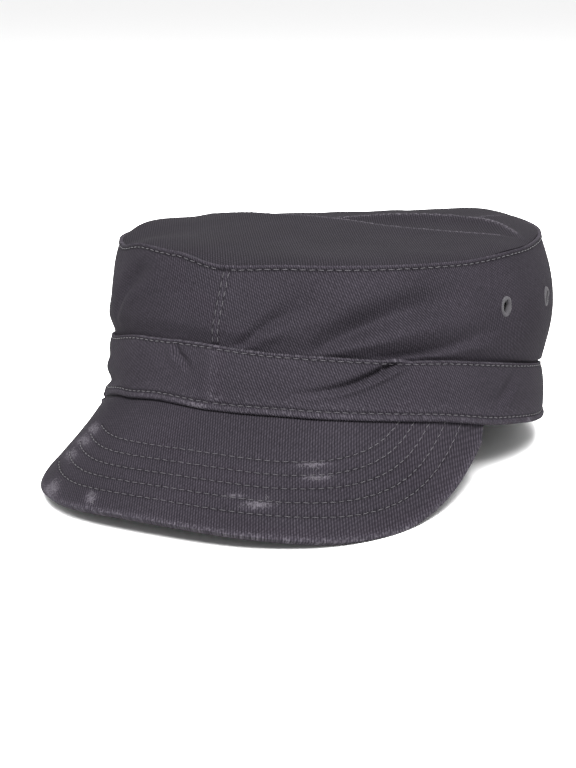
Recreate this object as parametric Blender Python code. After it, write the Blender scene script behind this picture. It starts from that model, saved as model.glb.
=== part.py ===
"""Patrol cap of heavy cotton twill, as it rests by itself on a table.

Metres, +Z up, the wearer's front towards -Y and the wearer's left towards +X. The cloth is worked out with
the hem level and is then tipped back onto the back of the hem and the two corners of the peak, as the cap
lies by itself. The origin is on the table, under the middle of the whole cap. Angles go round the cap in
degrees: 0 is the centre front seam, 90 the wearer's left side and 180 the centre back seam.
"""
import math
from collections import namedtuple

import bmesh
import bpy
import numpy as np

# Driving dimensions of the side wall, measured along and across the head
HEM_LENGTH = 0.196
HEM_WIDTH = 0.1834
HEM_WAVE = 0.0025
RIM_LENGTH = 0.1872
RIM_WIDTH = 0.1713
RIM_FORWARD = 0.0057
WALL_FRONT_HEIGHT = 0.0550
WALL_BACK_HEIGHT = 0.0814
WALL_BULGE = 0.0060
BULGE_LIFT = 1.5
RIM_WAVE = 0.004
RIM_RIDGE = 0.0006
FOLD_DEPTH = 0.0030
FOLD_WIDTH = 0.0100
RIGHT_RIM_PRESSED = 0.0045
RIGHT_HEM_PRESSED = 0.0070

# Driving dimensions of the band and of the rolled hem
BAND_FRONT_HEIGHT = 0.0244
BAND_SIDE_HEIGHT = 0.0231
BAND_BACK_HEIGHT = 0.0188
BAND_SWELL = 0.0008
BAND_WAVE = 0.0030
BINDING_HEIGHT = 0.0024
BINDING_PROUD = 0.0006

# Driving dimensions of the top panel
PANEL_PUFF = 0.0014
PANEL_CREASE = 0.0034
PANEL_BACK_RISE = 0.0022

# Driving dimensions of the peak
PEAK_LENGTH = 0.0541
PEAK_SPAN = 68.0
PEAK_PITCH = 38.0
PEAK_SQUARENESS = 2.87
PEAK_DROOP_POWER = 2.86
PEAK_THICKNESS = 0.0022
PEAK_TUCK = 0.0015
PEAK_SET_DOWN = 0.0009

# Driving dimensions of the eyelets
EYELET_WIDTH = 0.0068
EYELET_HEIGHT = 0.0082
EYELET_HOLE_WIDTH = 0.0034
EYELET_HOLE_HEIGHT = 0.0047
EYELET_PROUD = 0.0005
EYELET_FRONT_ANGLE = 72.5
EYELET_BACK_ANGLE = 93.5
EYELET_LEVEL = 0.70

# Cloth thicknesses, the clearance between two sewn pieces, and how far the resting cloth is pressed flat
WALL_CLOTH = 0.0016
BAND_CLOTH = 0.0015
PANEL_CLOTH = 0.0016
SEAM_GAP = 0.0003
PRESSED_FLAT = 0.0012

# Dyed cotton twill: linear colour and roughness
ANTHRACITE = (0.055, 0.050, 0.068)
TWILL_ROUGHNESS = 0.9

# Shares of the wall's height above the band, or of the panel's radius, at which a form begins or fades out
STEP_OUT_END = 0.35
RIDGE_START = 0.88
RIDGE_END = 0.94
FOLD_FADE_POWER = 6
WAVE_FADE_POWER = 4
PUFF_FADE_POWER = 6

# Other shares: rounding of the rolled hem by its height, and the raised back of the panel by its half sizes
BINDING_ROUNDING = 0.3
BACK_RISE_X = 0.45
BACK_RISE_Y = 0.65
BACK_RISE_SPREAD = 0.5

# Peak: how much of the half turn its outline takes, and how soon its root leaves the rolled hem
OUTLINE_TURN = 0.985
ROOT_FADE_POWER = 3

# Mesh fineness
HALF_STEPS = 36
BAND_ROWS = 4
WALL_ROWS = 7
PANEL_STEPS = 22
PEAK_STEPS = 36
PEAK_ROWS = 7
EYELET_STEPS = 16
SETTLING_STEPS = 40

# Height of the hem above its own flat plane, once round the cap, as shares of HEM_WAVE
WaveRow = namedtuple("WaveRow", "angle share")
HEM_WAVE_ROWS = (
    WaveRow(-180, 0.00),
    WaveRow(-155, 0.00),
    WaveRow(-125, 0.40),
    WaveRow(-90, -0.40),
    WaveRow(-55, -1.50),
    WaveRow(-32, -0.20),
    WaveRow(-15, 0.50),
    WaveRow(0, 0.20),
    WaveRow(20, 0.45),
    WaveRow(52, 0.85),
    WaveRow(75, 0.10),
    WaveRow(95, -0.15),
    WaveRow(125, 0.40),
    WaveRow(155, 0.00),
)

# Height of the band's upper edge above its own even line, once round the cap, as shares of BAND_WAVE
BAND_WAVE_ROWS = (
    WaveRow(-180, 0.00),
    WaveRow(-100, -0.30),
    WaveRow(-50, -1.00),
    WaveRow(-24, 0.00),
    WaveRow(-8, 0.15),
    WaveRow(15, -0.20),
    WaveRow(40, -0.10),
    WaveRow(58, 0.25),
    WaveRow(90, 0.10),
)

# Height of the rim above its own slope, once round the cap, as shares of RIM_WAVE
RIM_WAVE_ROWS = (
    WaveRow(-180, 0.45),
    WaveRow(-150, -0.35),
    WaveRow(-100, -0.35),
    WaveRow(-44, -0.20),
    WaveRow(-27, 0.65),
    WaveRow(-14, 0.50),
    WaveRow(0, -0.30),
    WaveRow(18, 0.05),
    WaveRow(60, 0.05),
    WaveRow(82, 0.40),
    WaveRow(115, 0.85),
    WaveRow(150, 1.10),
)

# Outward bulge of the wall between band and rim, once round the cap, as shares of WALL_BULGE
BULGE_ROWS = (
    WaveRow(-180, 0.60),
    WaveRow(-90, 0.80),
    WaveRow(-40, 0.50),
    WaveRow(0, 0.20),
    WaveRow(40, 0.55),
    WaveRow(90, 1.00),
)

# Dents pressed into wall and band: level is 0 at the hem and 1 at the rim, depth and width are shares of
# FOLD_DEPTH and FOLD_WIDTH
Fold = namedtuple("Fold", "from_angle from_level to_angle to_level depth width")
FOLDS = (
    Fold(7, 0.48, 24, 0.82, 0.35, 0.70),
    Fold(26, 0.55, 42, 0.76, 0.80, 0.90),
    Fold(42, 0.76, 61, 0.84, 0.60, 0.90),
    Fold(38, 0.43, 58, 0.51, 0.90, 0.55),
    Fold(26, 0.17, 42, 0.38, 0.55, 0.65),
    Fold(-11, 0.40, -6, 0.23, 0.35, 0.50),
    Fold(-32, 0.88, -24, 0.66, 0.30, 0.80),
    Fold(69, 0.12, 81, 0.30, 0.35, 0.80),
    Fold(-70, 0.62, -50, 0.70, 0.40, 1.00),
    Fold(120, 0.50, 140, 0.64, 0.45, 1.10),
    Fold(-150, 0.62, -125, 0.50, 0.45, 1.10),
)

# Creases across the top panel: ends as shares of its half width and half length, height as a share of
# PANEL_CREASE, and the two slopes as shares of its half length
Crease = namedtuple("Crease", "left_x left_y right_x right_y height front_slope back_slope")
CREASES = (
    Crease(-0.70, -0.05, 0.20, -0.10, 0.80, 0.45, 0.08),
    Crease(0.20, -0.10, 0.90, -0.25, 0.60, 0.35, 0.08),
    Crease(0.05, 0.12, 0.92, 0.00, 0.50, 0.12, 0.08),
)

# Rounded section of an eyelet's ring: across from hole to outer edge, and out through the cloth
SectionRow = namedtuple("SectionRow", "across out")
EYELET_SECTION = (
    SectionRow(1.0, -0.6),
    SectionRow(1.0, 0.6),
    SectionRow(0.7, 1.0),
    SectionRow(0.3, 1.0),
    SectionRow(0.0, 0.6),
    SectionRow(0.0, -0.6),
    SectionRow(0.3, -1.0),
    SectionRow(0.7, -1.0),
)

Shape = namedtuple("Shape", "points faces")


def clear_scene():
    """Remove every object of the scene."""
    for thing in list(bpy.data.objects):
        bpy.data.objects.remove(thing, do_unlink=True)


def around(rows, degrees):
    """Smooth value at each angle, from rows that go once round the cap."""
    knots = np.array([row.angle for row in rows] + [rows[0].angle + 360.0])
    shares = np.array([row.share for row in rows] + [rows[0].share])
    turned = (np.asarray(degrees) - knots[0]) % 360.0 + knots[0]
    index = np.clip(np.searchsorted(knots, turned, side="right") - 1, 0, len(rows) - 1)
    part = (turned - knots[index]) / (knots[index + 1] - knots[index])
    eased = part * part * (3.0 - 2.0 * part)
    return shares[index] + (shares[index + 1] - shares[index]) * eased


def ease(part):
    """Smooth step from 0 to 1."""
    part = np.clip(part, 0.0, 1.0)
    return part * part * (3.0 - 2.0 * part)


def distance_to_line(x, y, start, end):
    """Distance of each point to a straight stretch, and how far along it the nearest point lies."""
    span_x = end[0] - start[0]
    span_y = end[1] - start[1]
    part = ((x - start[0]) * span_x + (y - start[1]) * span_y) / (span_x ** 2 + span_y ** 2)
    nearest = np.clip(part, 0.0, 1.0)
    away_x = x - start[0] - nearest * span_x
    away_y = y - start[1] - nearest * span_y
    return np.hypot(away_x, away_y), part


def spread(values, steps):
    """Repeat one angle per row over all the rows of a grid."""
    return np.repeat(np.asarray(values)[:, None], steps, axis=1)


# Hem, rim and the slanted wall between them

def outward(degrees):
    """Level unit direction that points out of the cap at each angle."""
    turn = np.radians(degrees)
    direction = np.stack([np.sin(turn) / HEM_WIDTH, -np.cos(turn) / HEM_LENGTH, 0.0 * turn], axis=-1)
    return direction / np.linalg.norm(direction, axis=-1)[..., None]


def hem(degrees):
    """Outer face of the band's lower edge."""
    turn = np.radians(degrees)
    wave = HEM_WAVE * around(HEM_WAVE_ROWS, degrees)
    return np.stack([HEM_WIDTH / 2 * np.sin(turn), -HEM_LENGTH / 2 * np.cos(turn), wave], axis=-1)


def rim_slope_height(share_back):
    """Height of the rim's slanted plane, from -1 at the front to 1 at the back."""
    middle = (WALL_FRONT_HEIGHT + WALL_BACK_HEIGHT) / 2
    return middle + (WALL_BACK_HEIGHT - WALL_FRONT_HEIGHT) / 2 * share_back


def rim(degrees):
    """Outer edge of the crown, where wall and top panel meet."""
    turn = np.radians(degrees)
    x = RIM_WIDTH / 2 * np.sin(turn)
    y = -RIM_LENGTH / 2 * np.cos(turn) - RIM_FORWARD
    z = rim_slope_height(-np.cos(turn)) + RIM_WAVE * around(RIM_WAVE_ROWS, degrees)
    return np.stack([x, y, z], axis=-1)


def slant(degrees, level):
    """Point between hem and rim."""
    return hem(degrees) * (1.0 - level)[..., None] + rim(degrees) * level[..., None]


def wall_height(degrees):
    """Height of the rim above the hem."""
    return rim(degrees)[..., 2] - hem(degrees)[..., 2]


def band_level(degrees):
    """Level of the band's upper edge, from its heights at the front, the sides and the back."""
    turn = np.radians(degrees)
    ends = BAND_FRONT_HEIGHT + BAND_BACK_HEIGHT
    mean = (ends + 2 * BAND_SIDE_HEIGHT) / 4
    sway = (ends - 2 * BAND_SIDE_HEIGHT) / 4
    tilt = (BAND_FRONT_HEIGHT - BAND_BACK_HEIGHT) / 2
    top = mean + tilt * np.cos(turn) + sway * np.cos(2 * turn) + BAND_WAVE * around(BAND_WAVE_ROWS, degrees)
    return (top - hem(degrees)[..., 2]) / wall_height(degrees)


def fold_depth(degrees, level):
    """How far the folds press the cloth in."""
    reach = (HEM_LENGTH + HEM_WIDTH) / 4
    tall = (WALL_FRONT_HEIGHT + WALL_BACK_HEIGHT) / 2
    depth = np.zeros_like(degrees, dtype=float)
    for fold in FOLDS:
        start = (math.radians(fold.from_angle) * reach, fold.from_level * tall)
        end = (math.radians(fold.to_angle) * reach, fold.to_level * tall)
        away, _ = distance_to_line(np.radians(degrees) * reach, level * tall, start, end)
        depth = depth + FOLD_DEPTH * fold.depth * np.exp(-((away / (FOLD_WIDTH * fold.width)) ** 2))
    return depth


def wall_face(degrees, level):
    """Outer face of the wall: behind the band, then bulging out above it, and a ridge at the rim."""
    above = np.clip((level - band_level(degrees)) / (1.0 - band_level(degrees)), 0.0, 1.0)
    behind_band = (BAND_CLOTH + SEAM_GAP) * (1.0 - ease(above / STEP_OUT_END))
    bulge = WALL_BULGE * around(BULGE_ROWS, degrees) * np.sin(math.pi * above ** BULGE_LIFT)
    ridge = RIM_RIDGE * ease((above - RIDGE_START) / (RIDGE_END - RIDGE_START))
    offset = bulge + ridge - behind_band - fold_depth(degrees, level) * (1.0 - above ** FOLD_FADE_POWER)
    return slant(degrees, level) + outward(degrees) * offset[..., None]


def band_face(degrees, level):
    """Outer face of the band, swelling a little at half its height."""
    height_share = level / band_level(degrees)
    offset = BAND_SWELL * np.sin(math.pi * height_share) - fold_depth(degrees, level)
    return slant(degrees, level) + outward(degrees) * offset[..., None]


# Closed bodies

def shell(outer, inner):
    """Closed body between two grids of points, with a wall round their shared border."""
    rows, columns, _ = outer.shape
    count = rows * columns
    points = np.concatenate([outer.reshape(-1, 3), inner.reshape(-1, 3)])

    def at(row, column):
        return row * columns + column

    faces = []
    for row in range(rows - 1):
        for column in range(columns - 1):
            quad = (at(row, column), at(row + 1, column), at(row + 1, column + 1), at(row, column + 1))
            faces.append(quad)
            faces.append(tuple(count + corner for corner in reversed(quad)))
    border = [at(row, 0) for row in range(rows - 1)]
    border += [at(rows - 1, column) for column in range(columns - 1)]
    border += [at(row, columns - 1) for row in range(rows - 1, 0, -1)]
    border += [at(0, column) for column in range(columns - 1, 0, -1)]
    for here, there in zip(border, border[1:] + border[:1]):
        faces.append((there, here, count + here, count + there))
    return Shape(points, faces)


def ring(sections):
    """Closed ring through equal sections that go once round."""
    steps, corners, _ = sections.shape
    faces = []
    for step in range(steps):
        following = (step + 1) % steps
        for corner in range(corners):
            beside = (corner + 1) % corners
            faces.append((step * corners + corner, following * corners + corner,
                          following * corners + beside, step * corners + beside))
    return Shape(sections.reshape(-1, 3), faces)


def half_angles(side):
    """Angles of one half of the cap, from the front seam to the back seam, in rising order."""
    seam_angle = math.degrees(SEAM_GAP / HEM_WIDTH)
    angles = np.linspace(seam_angle, 180.0 - seam_angle, HALF_STEPS + 1)
    return angles if side > 0 else -angles[::-1]


def band_levels(angles, top_clearance=0.0):
    """Levels of the rows between the rolled hem and the band's upper edge."""
    tall = wall_height(angles)
    lowest = (BINDING_HEIGHT + SEAM_GAP) / tall
    highest = band_level(angles) - top_clearance / tall
    return lowest[:, None] + (highest - lowest)[:, None] * np.linspace(0.0, 1.0, BAND_ROWS + 1)


def wall_half(side):
    """Half of the side wall, from the rolled hem, behind the band, up to the rim."""
    angles = half_angles(side)
    low = band_levels(angles)
    start = low[:, -1:]
    high = start + (1.0 - start) * np.linspace(0.0, 1.0, WALL_ROWS + 1)[1:]
    levels = np.concatenate([low, high], axis=1)
    degrees = spread(angles, levels.shape[1])
    outer = wall_face(degrees, levels)
    return shell(outer, outer - outward(degrees) * WALL_CLOTH)


def band_half(side):
    """Half of the turned-up band."""
    angles = half_angles(side)
    levels = band_levels(angles, SEAM_GAP)
    degrees = spread(angles, levels.shape[1])
    outer = band_face(degrees, levels)
    behind = outer - outward(degrees) * BAND_CLOTH
    return shell(outer, behind)


def hem_binding():
    """Rolled edge that wraps the lower edges of wall and band."""
    angles = np.linspace(0.0, 360.0, 2 * HALF_STEPS, endpoint=False)
    thickness = WALL_CLOTH + BAND_CLOTH + SEAM_GAP + 2 * BINDING_PROUD
    roll = BINDING_HEIGHT * BINDING_ROUNDING
    outer = BINDING_PROUD
    inner = BINDING_PROUD - thickness
    corners = ((outer - roll, 0.0), (outer, roll), (outer, BINDING_HEIGHT - roll),
               (outer - roll, BINDING_HEIGHT), (inner + roll, BINDING_HEIGHT),
               (inner, BINDING_HEIGHT - roll), (inner, roll), (inner + roll, 0.0))
    sections = [hem(angles) + outward(angles) * out + np.array([0.0, 0.0, up]) for out, up in corners]
    return ring(np.stack(sections, axis=1))


# Top panel

def panel_height(share_x, share_y, radius, degrees):
    """Height of the panel above the rim's slanted plane."""
    wave = RIM_WAVE * around(RIM_WAVE_ROWS, degrees) * radius ** WAVE_FADE_POWER
    inside = 1.0 - radius ** PUFF_FADE_POWER
    from_rise = np.hypot(share_x - BACK_RISE_X, share_y - BACK_RISE_Y)
    back = PANEL_BACK_RISE * np.exp(-((from_rise / BACK_RISE_SPREAD) ** 2))
    folds = np.zeros_like(share_x)
    for crease in CREASES:
        start = (crease.left_x, crease.left_y)
        end = (crease.right_x, crease.right_y)
        away, part = distance_to_line(share_x, share_y, start, end)
        line_y = start[1] + np.clip(part, 0.0, 1.0) * (end[1] - start[1])
        slope = np.where(share_y < line_y, crease.front_slope, crease.back_slope)
        folds = np.maximum(folds, PANEL_CREASE * crease.height * np.exp(-((away / slope) ** 2)))
    return wave + (PANEL_PUFF + back + folds) * inside


def crown_top():
    """Top panel inside the wall's upper edge, on a square grid drawn out to the rim's oval."""
    line = np.linspace(-1.0, 1.0, PANEL_STEPS + 1)
    square_x, square_y = np.meshgrid(line, line, indexing="ij")
    share_x = square_x * np.sqrt(1.0 - square_y ** 2 / 2)
    share_y = square_y * np.sqrt(1.0 - square_x ** 2 / 2)
    radius = np.hypot(share_x, share_y)
    degrees = np.degrees(np.arctan2(share_x, -share_y))
    edge = rim(degrees) - outward(degrees) * (WALL_CLOTH + SEAM_GAP - RIM_RIDGE)
    x = radius * edge[..., 0]
    y = radius * (edge[..., 1] + RIM_FORWARD) - RIM_FORWARD
    z = rim_slope_height(share_y) + panel_height(share_x, share_y, radius, degrees)
    outer = np.stack([x, y, z], axis=-1)
    return shell(outer, outer - np.array([0.0, 0.0, PANEL_CLOTH]))


# Peak

def peak_droop(x):
    """How far the peak's sides hang below its middle, so that its ends meet the hem."""
    pitch = math.radians(PEAK_PITCH)
    end_turn = math.radians(PEAK_SPAN)
    end_x = HEM_WIDTH / 2 * math.sin(end_turn)
    end_drop = math.sin(pitch) * HEM_LENGTH / 2 * (1.0 - math.cos(end_turn))
    return end_drop * np.abs(x / end_x) ** PEAK_DROOP_POWER


def peak_surface(x, reach):
    """Upper face of the peak at a distance across and a distance forward along its slope."""
    pitch = math.radians(PEAK_PITCH)
    droop = peak_droop(x)
    y = -HEM_LENGTH / 2 + PEAK_TUCK - reach * math.cos(pitch) + droop * math.sin(pitch)
    z = -SEAM_GAP - PEAK_SET_DOWN - reach * math.sin(pitch) - droop * math.cos(pitch)
    return np.stack([x, y, z], axis=-1)


def peak_outline(turn):
    """Outline of the peak across and along its slope, from one end to the other."""
    pitch = math.radians(PEAK_PITCH)
    end_x = HEM_WIDTH / 2 * math.sin(math.radians(PEAK_SPAN))
    end_reach = -peak_droop(end_x) / math.tan(pitch)
    power = 2.0 / PEAK_SQUARENESS
    across = np.sign(np.cos(turn)) * np.abs(np.cos(turn)) ** power
    along = np.abs(np.sin(turn)) ** power
    return end_x * across, end_reach + (PEAK_LENGTH - end_reach) * along


def peak():
    """Stiff peak: its root is tucked under the rolled hem, and its outer edge is rolled."""
    share = np.linspace(-1.0, 1.0, PEAK_STEPS + 1)
    outline_x, outline_reach = peak_outline(math.pi / 2 * (1.0 + share[::-1] * OUTLINE_TURN))
    degrees = PEAK_SPAN * share
    root = hem(degrees) - outward(degrees) * PEAK_TUCK
    root[:, 2] -= SEAM_GAP
    droop_at_root = peak_droop(root[:, 0])
    root_reach = -droop_at_root / math.tan(math.radians(PEAK_PITCH))
    rows = np.linspace(0.0, 1.0, PEAK_ROWS + 1)
    x = root[:, 0:1] * (1.0 - rows) + outline_x[:, None] * rows
    reach = root_reach[:, None] * (1.0 - rows) + outline_reach[:, None] * rows
    upper = peak_surface(x, reach)
    settled = (root - upper[:, 0])[:, None, :] * ((1.0 - rows) ** ROOT_FADE_POWER)[None, :, None]
    upper = (upper + settled)[:, ::-1]
    normal = np.cross(np.gradient(upper, axis=0), np.gradient(upper, axis=1))
    normal = normal / np.linalg.norm(normal, axis=-1)[..., None]
    lower = upper - normal * PEAK_THICKNESS
    return shell(upper, lower)


# Eyelets

def eyelet_place(degrees):
    """Middle of the wall cloth at an eyelet, and the directions out of the cap and along the wall."""
    angle = np.array([float(degrees)])
    outwards = outward(angle)[0]
    middle = wall_face(angle, np.array([EYELET_LEVEL]))[0] - outwards * WALL_CLOTH / 2
    sideways = np.array([-outwards[1], outwards[0], 0.0])
    return middle, outwards, sideways


def oval(steps, width, height):
    """Points of an upright oval, across and up."""
    turn = np.linspace(0.0, 2.0 * math.pi, steps, endpoint=False)
    return np.stack([width / 2 * np.cos(turn), height / 2 * np.sin(turn)], axis=-1)


def eyelet(degrees):
    """Embroidered oval ring that fills the edge of its hole and stands proud on both sides."""
    middle, outwards, sideways = eyelet_place(degrees)
    upwards = np.array([0.0, 0.0, 1.0])
    depth = WALL_CLOTH / 2 + EYELET_PROUD
    sections = []
    for across_share, out_share in EYELET_SECTION:
        width = EYELET_HOLE_WIDTH + (EYELET_WIDTH - EYELET_HOLE_WIDTH) * across_share
        height = EYELET_HOLE_HEIGHT + (EYELET_HEIGHT - EYELET_HOLE_HEIGHT) * across_share
        flat = oval(EYELET_STEPS, width, height)
        place = flat[:, :1] * sideways + flat[:, 1:] * upwards + outwards * depth * out_share
        sections.append(middle + place)
    return ring(np.stack(sections, axis=1))


def eyelet_hole(degrees):
    """Oval plug that cuts an eyelet's hole through the wall, with clearance round the ring."""
    middle, outwards, sideways = eyelet_place(degrees)
    upwards = np.array([0.0, 0.0, 1.0])
    flat = oval(EYELET_STEPS, EYELET_WIDTH + 2 * SEAM_GAP, EYELET_HEIGHT + 2 * SEAM_GAP)
    plane = middle + flat[:, :1] * sideways + flat[:, 1:] * upwards
    reach = outwards * (WALL_CLOTH + WALL_BULGE)
    steps = EYELET_STEPS
    faces = [tuple(range(steps)), tuple(reversed(range(steps, 2 * steps)))]
    for step in range(steps):
        beside = (step + 1) % steps
        faces.append((beside, step, steps + step, steps + beside))
    return Shape(np.concatenate([plane + reach, plane - reach]), faces)


# Resting on the table

def press_side(points):
    """Points with the wearer's right side pressed in: most at the widest place and towards the hem."""
    share = np.minimum(points[:, 0], 0.0) / (HEM_WIDTH / 2)
    low = np.clip(1.0 - points[:, 2] / WALL_FRONT_HEIGHT, 0.0, 1.0)
    pressed = points.copy()
    pressed[:, 0] += (RIGHT_RIM_PRESSED + (RIGHT_HEM_PRESSED - RIGHT_RIM_PRESSED) * low) * share ** 2
    return pressed


def tip(points, degrees):
    """Points turned back about the back of the hem, which raises the front."""
    turn = math.radians(degrees)
    pivot = HEM_LENGTH / 2
    y = points[:, 1] - pivot
    z = points[:, 2]
    tipped_y = pivot + y * math.cos(turn) + z * math.sin(turn)
    tipped_z = z * math.cos(turn) - y * math.sin(turn)
    return np.stack([points[:, 0], tipped_y, tipped_z], axis=-1)


def resting_tilt(binding_points, peak_points):
    """Angle at which hem and peak touch the table together."""
    low = 0.0
    high = 45.0
    for _ in range(SETTLING_STEPS):
        middle = (low + high) / 2
        if tip(peak_points, middle)[:, 2].min() < tip(binding_points, middle)[:, 2].min():
            low = middle
        else:
            high = middle
    return (low + high) / 2


def settle(shapes, cutters):
    """Tip everything onto the table, press the lowest cloth flat and centre the cap on the origin."""
    pressed = {name: press_side(shape.points) for name, shape in {**shapes, **cutters}.items()}
    tilt = resting_tilt(pressed["hem_binding"], pressed["peak"])
    tipped = {name: tip(points, tilt) for name, points in pressed.items()}
    floor = min(tipped[name][:, 2].min() for name in shapes) + PRESSED_FLAT
    for name in shapes:
        tipped[name][:, 2] = np.maximum(tipped[name][:, 2], floor)
    everything = np.concatenate([tipped[name] for name in shapes])
    low = everything.min(axis=0)
    high = everything.max(axis=0)
    origin = np.array([(low[0] + high[0]) / 2, (low[1] + high[1]) / 2, floor])
    return {name: points - origin for name, points in tipped.items()}


# Objects and materials

def cloth(name, colour, roughness):
    """Matt dyed cotton."""
    material = bpy.data.materials.new(name)
    material.use_nodes = True
    surface = material.node_tree.nodes["Principled BSDF"]
    surface.inputs["Base Color"].default_value = (*colour, 1.0)
    surface.inputs["Roughness"].default_value = roughness
    surface.inputs["Metallic"].default_value = 0.0
    material.diffuse_color = (*colour, 1.0)
    return material


def add_object(name, points, faces, material=None):
    """Object made of the given points and faces, with its faces turned outward."""
    body = bmesh.new()
    corners = [body.verts.new(point) for point in points]
    for face in faces:
        body.faces.new([corners[index] for index in face])
    bmesh.ops.recalc_face_normals(body, faces=body.faces)
    mesh = bpy.data.meshes.new(name)
    body.to_mesh(mesh)
    body.free()
    mesh.shade_smooth()
    mesh.set_sharp_from_angle(angle=math.radians(50))
    thing = bpy.data.objects.new(name, mesh)
    bpy.context.scene.collection.objects.link(thing)
    if material:
        mesh.materials.append(material)
    return thing


def cut(target, cutter):
    """Cut the cutter's shape out of the target."""
    cutter.hide_render = True
    cutter.display_type = "WIRE"
    modifier = target.modifiers.new("Eyelet hole", "BOOLEAN")
    modifier.operation = "DIFFERENCE"
    modifier.solver = "EXACT"
    modifier.object = cutter


def build_cap():
    """Model every piece with the hem level, rest the cap on the table and cut the eyelet holes."""
    shapes = {
        "crown_top": crown_top(),
        "wall_left": wall_half(1),
        "wall_right": wall_half(-1),
        "band_left": band_half(1),
        "band_right": band_half(-1),
        "hem_binding": hem_binding(),
        "peak": peak(),
    }
    holes = {}
    for side_name, side in (("left", 1), ("right", -1)):
        for end_name, angle in (("front", EYELET_FRONT_ANGLE), ("back", EYELET_BACK_ANGLE)):
            shapes[f"eyelet_{side_name}_{end_name}"] = eyelet(side * angle)
            holes[f"hole_{side_name}_{end_name}"] = eyelet_hole(side * angle)
    places = settle(shapes, holes)
    objects = {}
    for name, shape in shapes.items():
        material = cloth(f"{name}_twill", ANTHRACITE, TWILL_ROUGHNESS)
        objects[name] = add_object(name, places[name], shape.faces, material)
    for name, shape in holes.items():
        side_name = name.split("_")[1]
        cut(objects[f"wall_{side_name}"], add_object(name, places[name], shape.faces))


clear_scene()
build_cap()
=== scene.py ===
"""Looks of a garment-washed patrol cap of heavy cotton twill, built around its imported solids.

Each sheet of cloth is worked out with the hem level and the front towards -Y, and is then laid on the
table as the cap rests: on the back of its hem and the two corners of its peak. Angles go round the cap in
degrees: 0 is the centre front seam, 90 the wearer's left side and 180 the centre back seam. A level is 0 at
the hem and 1 at the rim, where the side wall meets the top panel. Lengths are in metres.
"""

import math
from collections import namedtuple

import bpy
import numpy as np
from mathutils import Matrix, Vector, kdtree, noise


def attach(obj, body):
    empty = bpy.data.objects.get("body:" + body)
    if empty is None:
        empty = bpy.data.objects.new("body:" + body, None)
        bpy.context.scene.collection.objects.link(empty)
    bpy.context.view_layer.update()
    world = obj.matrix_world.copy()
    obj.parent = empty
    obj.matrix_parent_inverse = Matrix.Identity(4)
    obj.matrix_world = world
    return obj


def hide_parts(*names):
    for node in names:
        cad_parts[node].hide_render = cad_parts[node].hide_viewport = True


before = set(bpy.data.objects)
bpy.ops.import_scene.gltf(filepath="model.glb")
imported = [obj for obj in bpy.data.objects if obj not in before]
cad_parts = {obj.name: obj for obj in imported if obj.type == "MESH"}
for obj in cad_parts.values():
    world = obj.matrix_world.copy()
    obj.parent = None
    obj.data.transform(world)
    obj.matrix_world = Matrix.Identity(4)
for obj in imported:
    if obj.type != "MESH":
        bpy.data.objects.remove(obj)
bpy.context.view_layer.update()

MM = 0.001

# Side wall, as the solids have it
HEM_LENGTH = 196.0 * MM
HEM_WIDTH = 183.4 * MM
HEM_WAVE = 2.5 * MM
RIM_LENGTH = 187.2 * MM
RIM_WIDTH = 171.3 * MM
RIM_FORWARD = 5.7 * MM
WALL_FRONT_HEIGHT = 55.0 * MM
WALL_BACK_HEIGHT = 81.4 * MM
WALL_BULGE = 6.0 * MM
BULGE_LIFT = 1.05
RIM_WAVE = 4.0 * MM
RIM_RIDGE = 0.6 * MM
RIM_RIDGE_HEIGHT = 2.6 * MM
STEP_OUT_END = 0.22
STEP_OUT_SIDE_SHARE = 0.08
STEP_OUT_SIDE_ANGLE = 100.0
STEP_OUT_SIDE_SPREAD = 35.0
HEM_FLARE = 1.8 * MM
HEM_FLARE_ANGLE = -67.0
HEM_FLARE_SPREAD = 22.0
RIGHT_RIM_PRESSED = 4.5 * MM
RIGHT_HEM_PRESSED = 7.0 * MM

# Band and rolled hem
BAND_FRONT_HEIGHT = 24.4 * MM
BAND_SIDE_HEIGHT = 23.1 * MM
BAND_BACK_HEIGHT = 18.8 * MM
BAND_SWELL = 0.8 * MM
BAND_WAVE = 3.0 * MM
BINDING_HEIGHT = 2.4 * MM
BINDING_PROUD = 0.6 * MM
BINDING_SQUARENESS_OUT = 0.55
BINDING_SQUARENESS_UP = 0.8
BAND_OVERLAP = 0.4 * MM

# Top panel
PANEL_PUFF = 2.4 * MM
PANEL_BACK_RISE = 2.2 * MM
BACK_RISE_X = 0.45
BACK_RISE_Y = 0.65
BACK_RISE_SPREAD = 0.5
SIDE_PUFF = 3.6 * MM
SIDE_PUFF_X = -0.88
SIDE_PUFF_Y = -0.36
SIDE_PUFF_SPREAD = 0.28
WAVE_FADE_POWER = 4
PUFF_FADE_POWER = 16
FOLD_FADE_POWER = 6
PANEL_INSET = 0.75 * MM
PANEL_SET_DOWN = 0.25 * MM

# Peak
PEAK_LENGTH = 54.1 * MM
PEAK_SPAN = 68.0
PEAK_PITCH = 38.0
PEAK_SQUARENESS = 2.87
PEAK_DROOP_POWER = 2.86
PEAK_THICKNESS = 2.2 * MM
PEAK_TUCK = 1.5 * MM
PEAK_SET_DOWN = 0.9 * MM
OUTLINE_TURN = 0.985
ROOT_FADE_POWER = 3
RIGHT_CORNER_RAISED = 3.3 * MM
RIGHT_CORNER_SPREAD = 0.8 * MM
RIGHT_CORNER_REACH = (-20.0 * MM, 30.0 * MM)
RIGHT_CORNER_SIDE = (35.0 * MM, 80.0 * MM)
PEAK_ROLL = 0.60 * MM
PEAK_ROLL_WIDTH = 3.0 * MM
PEAK_ROLL_INSET = 1.2 * MM
PEAK_EDGE_ROUNDING = 0.9 * MM

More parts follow.
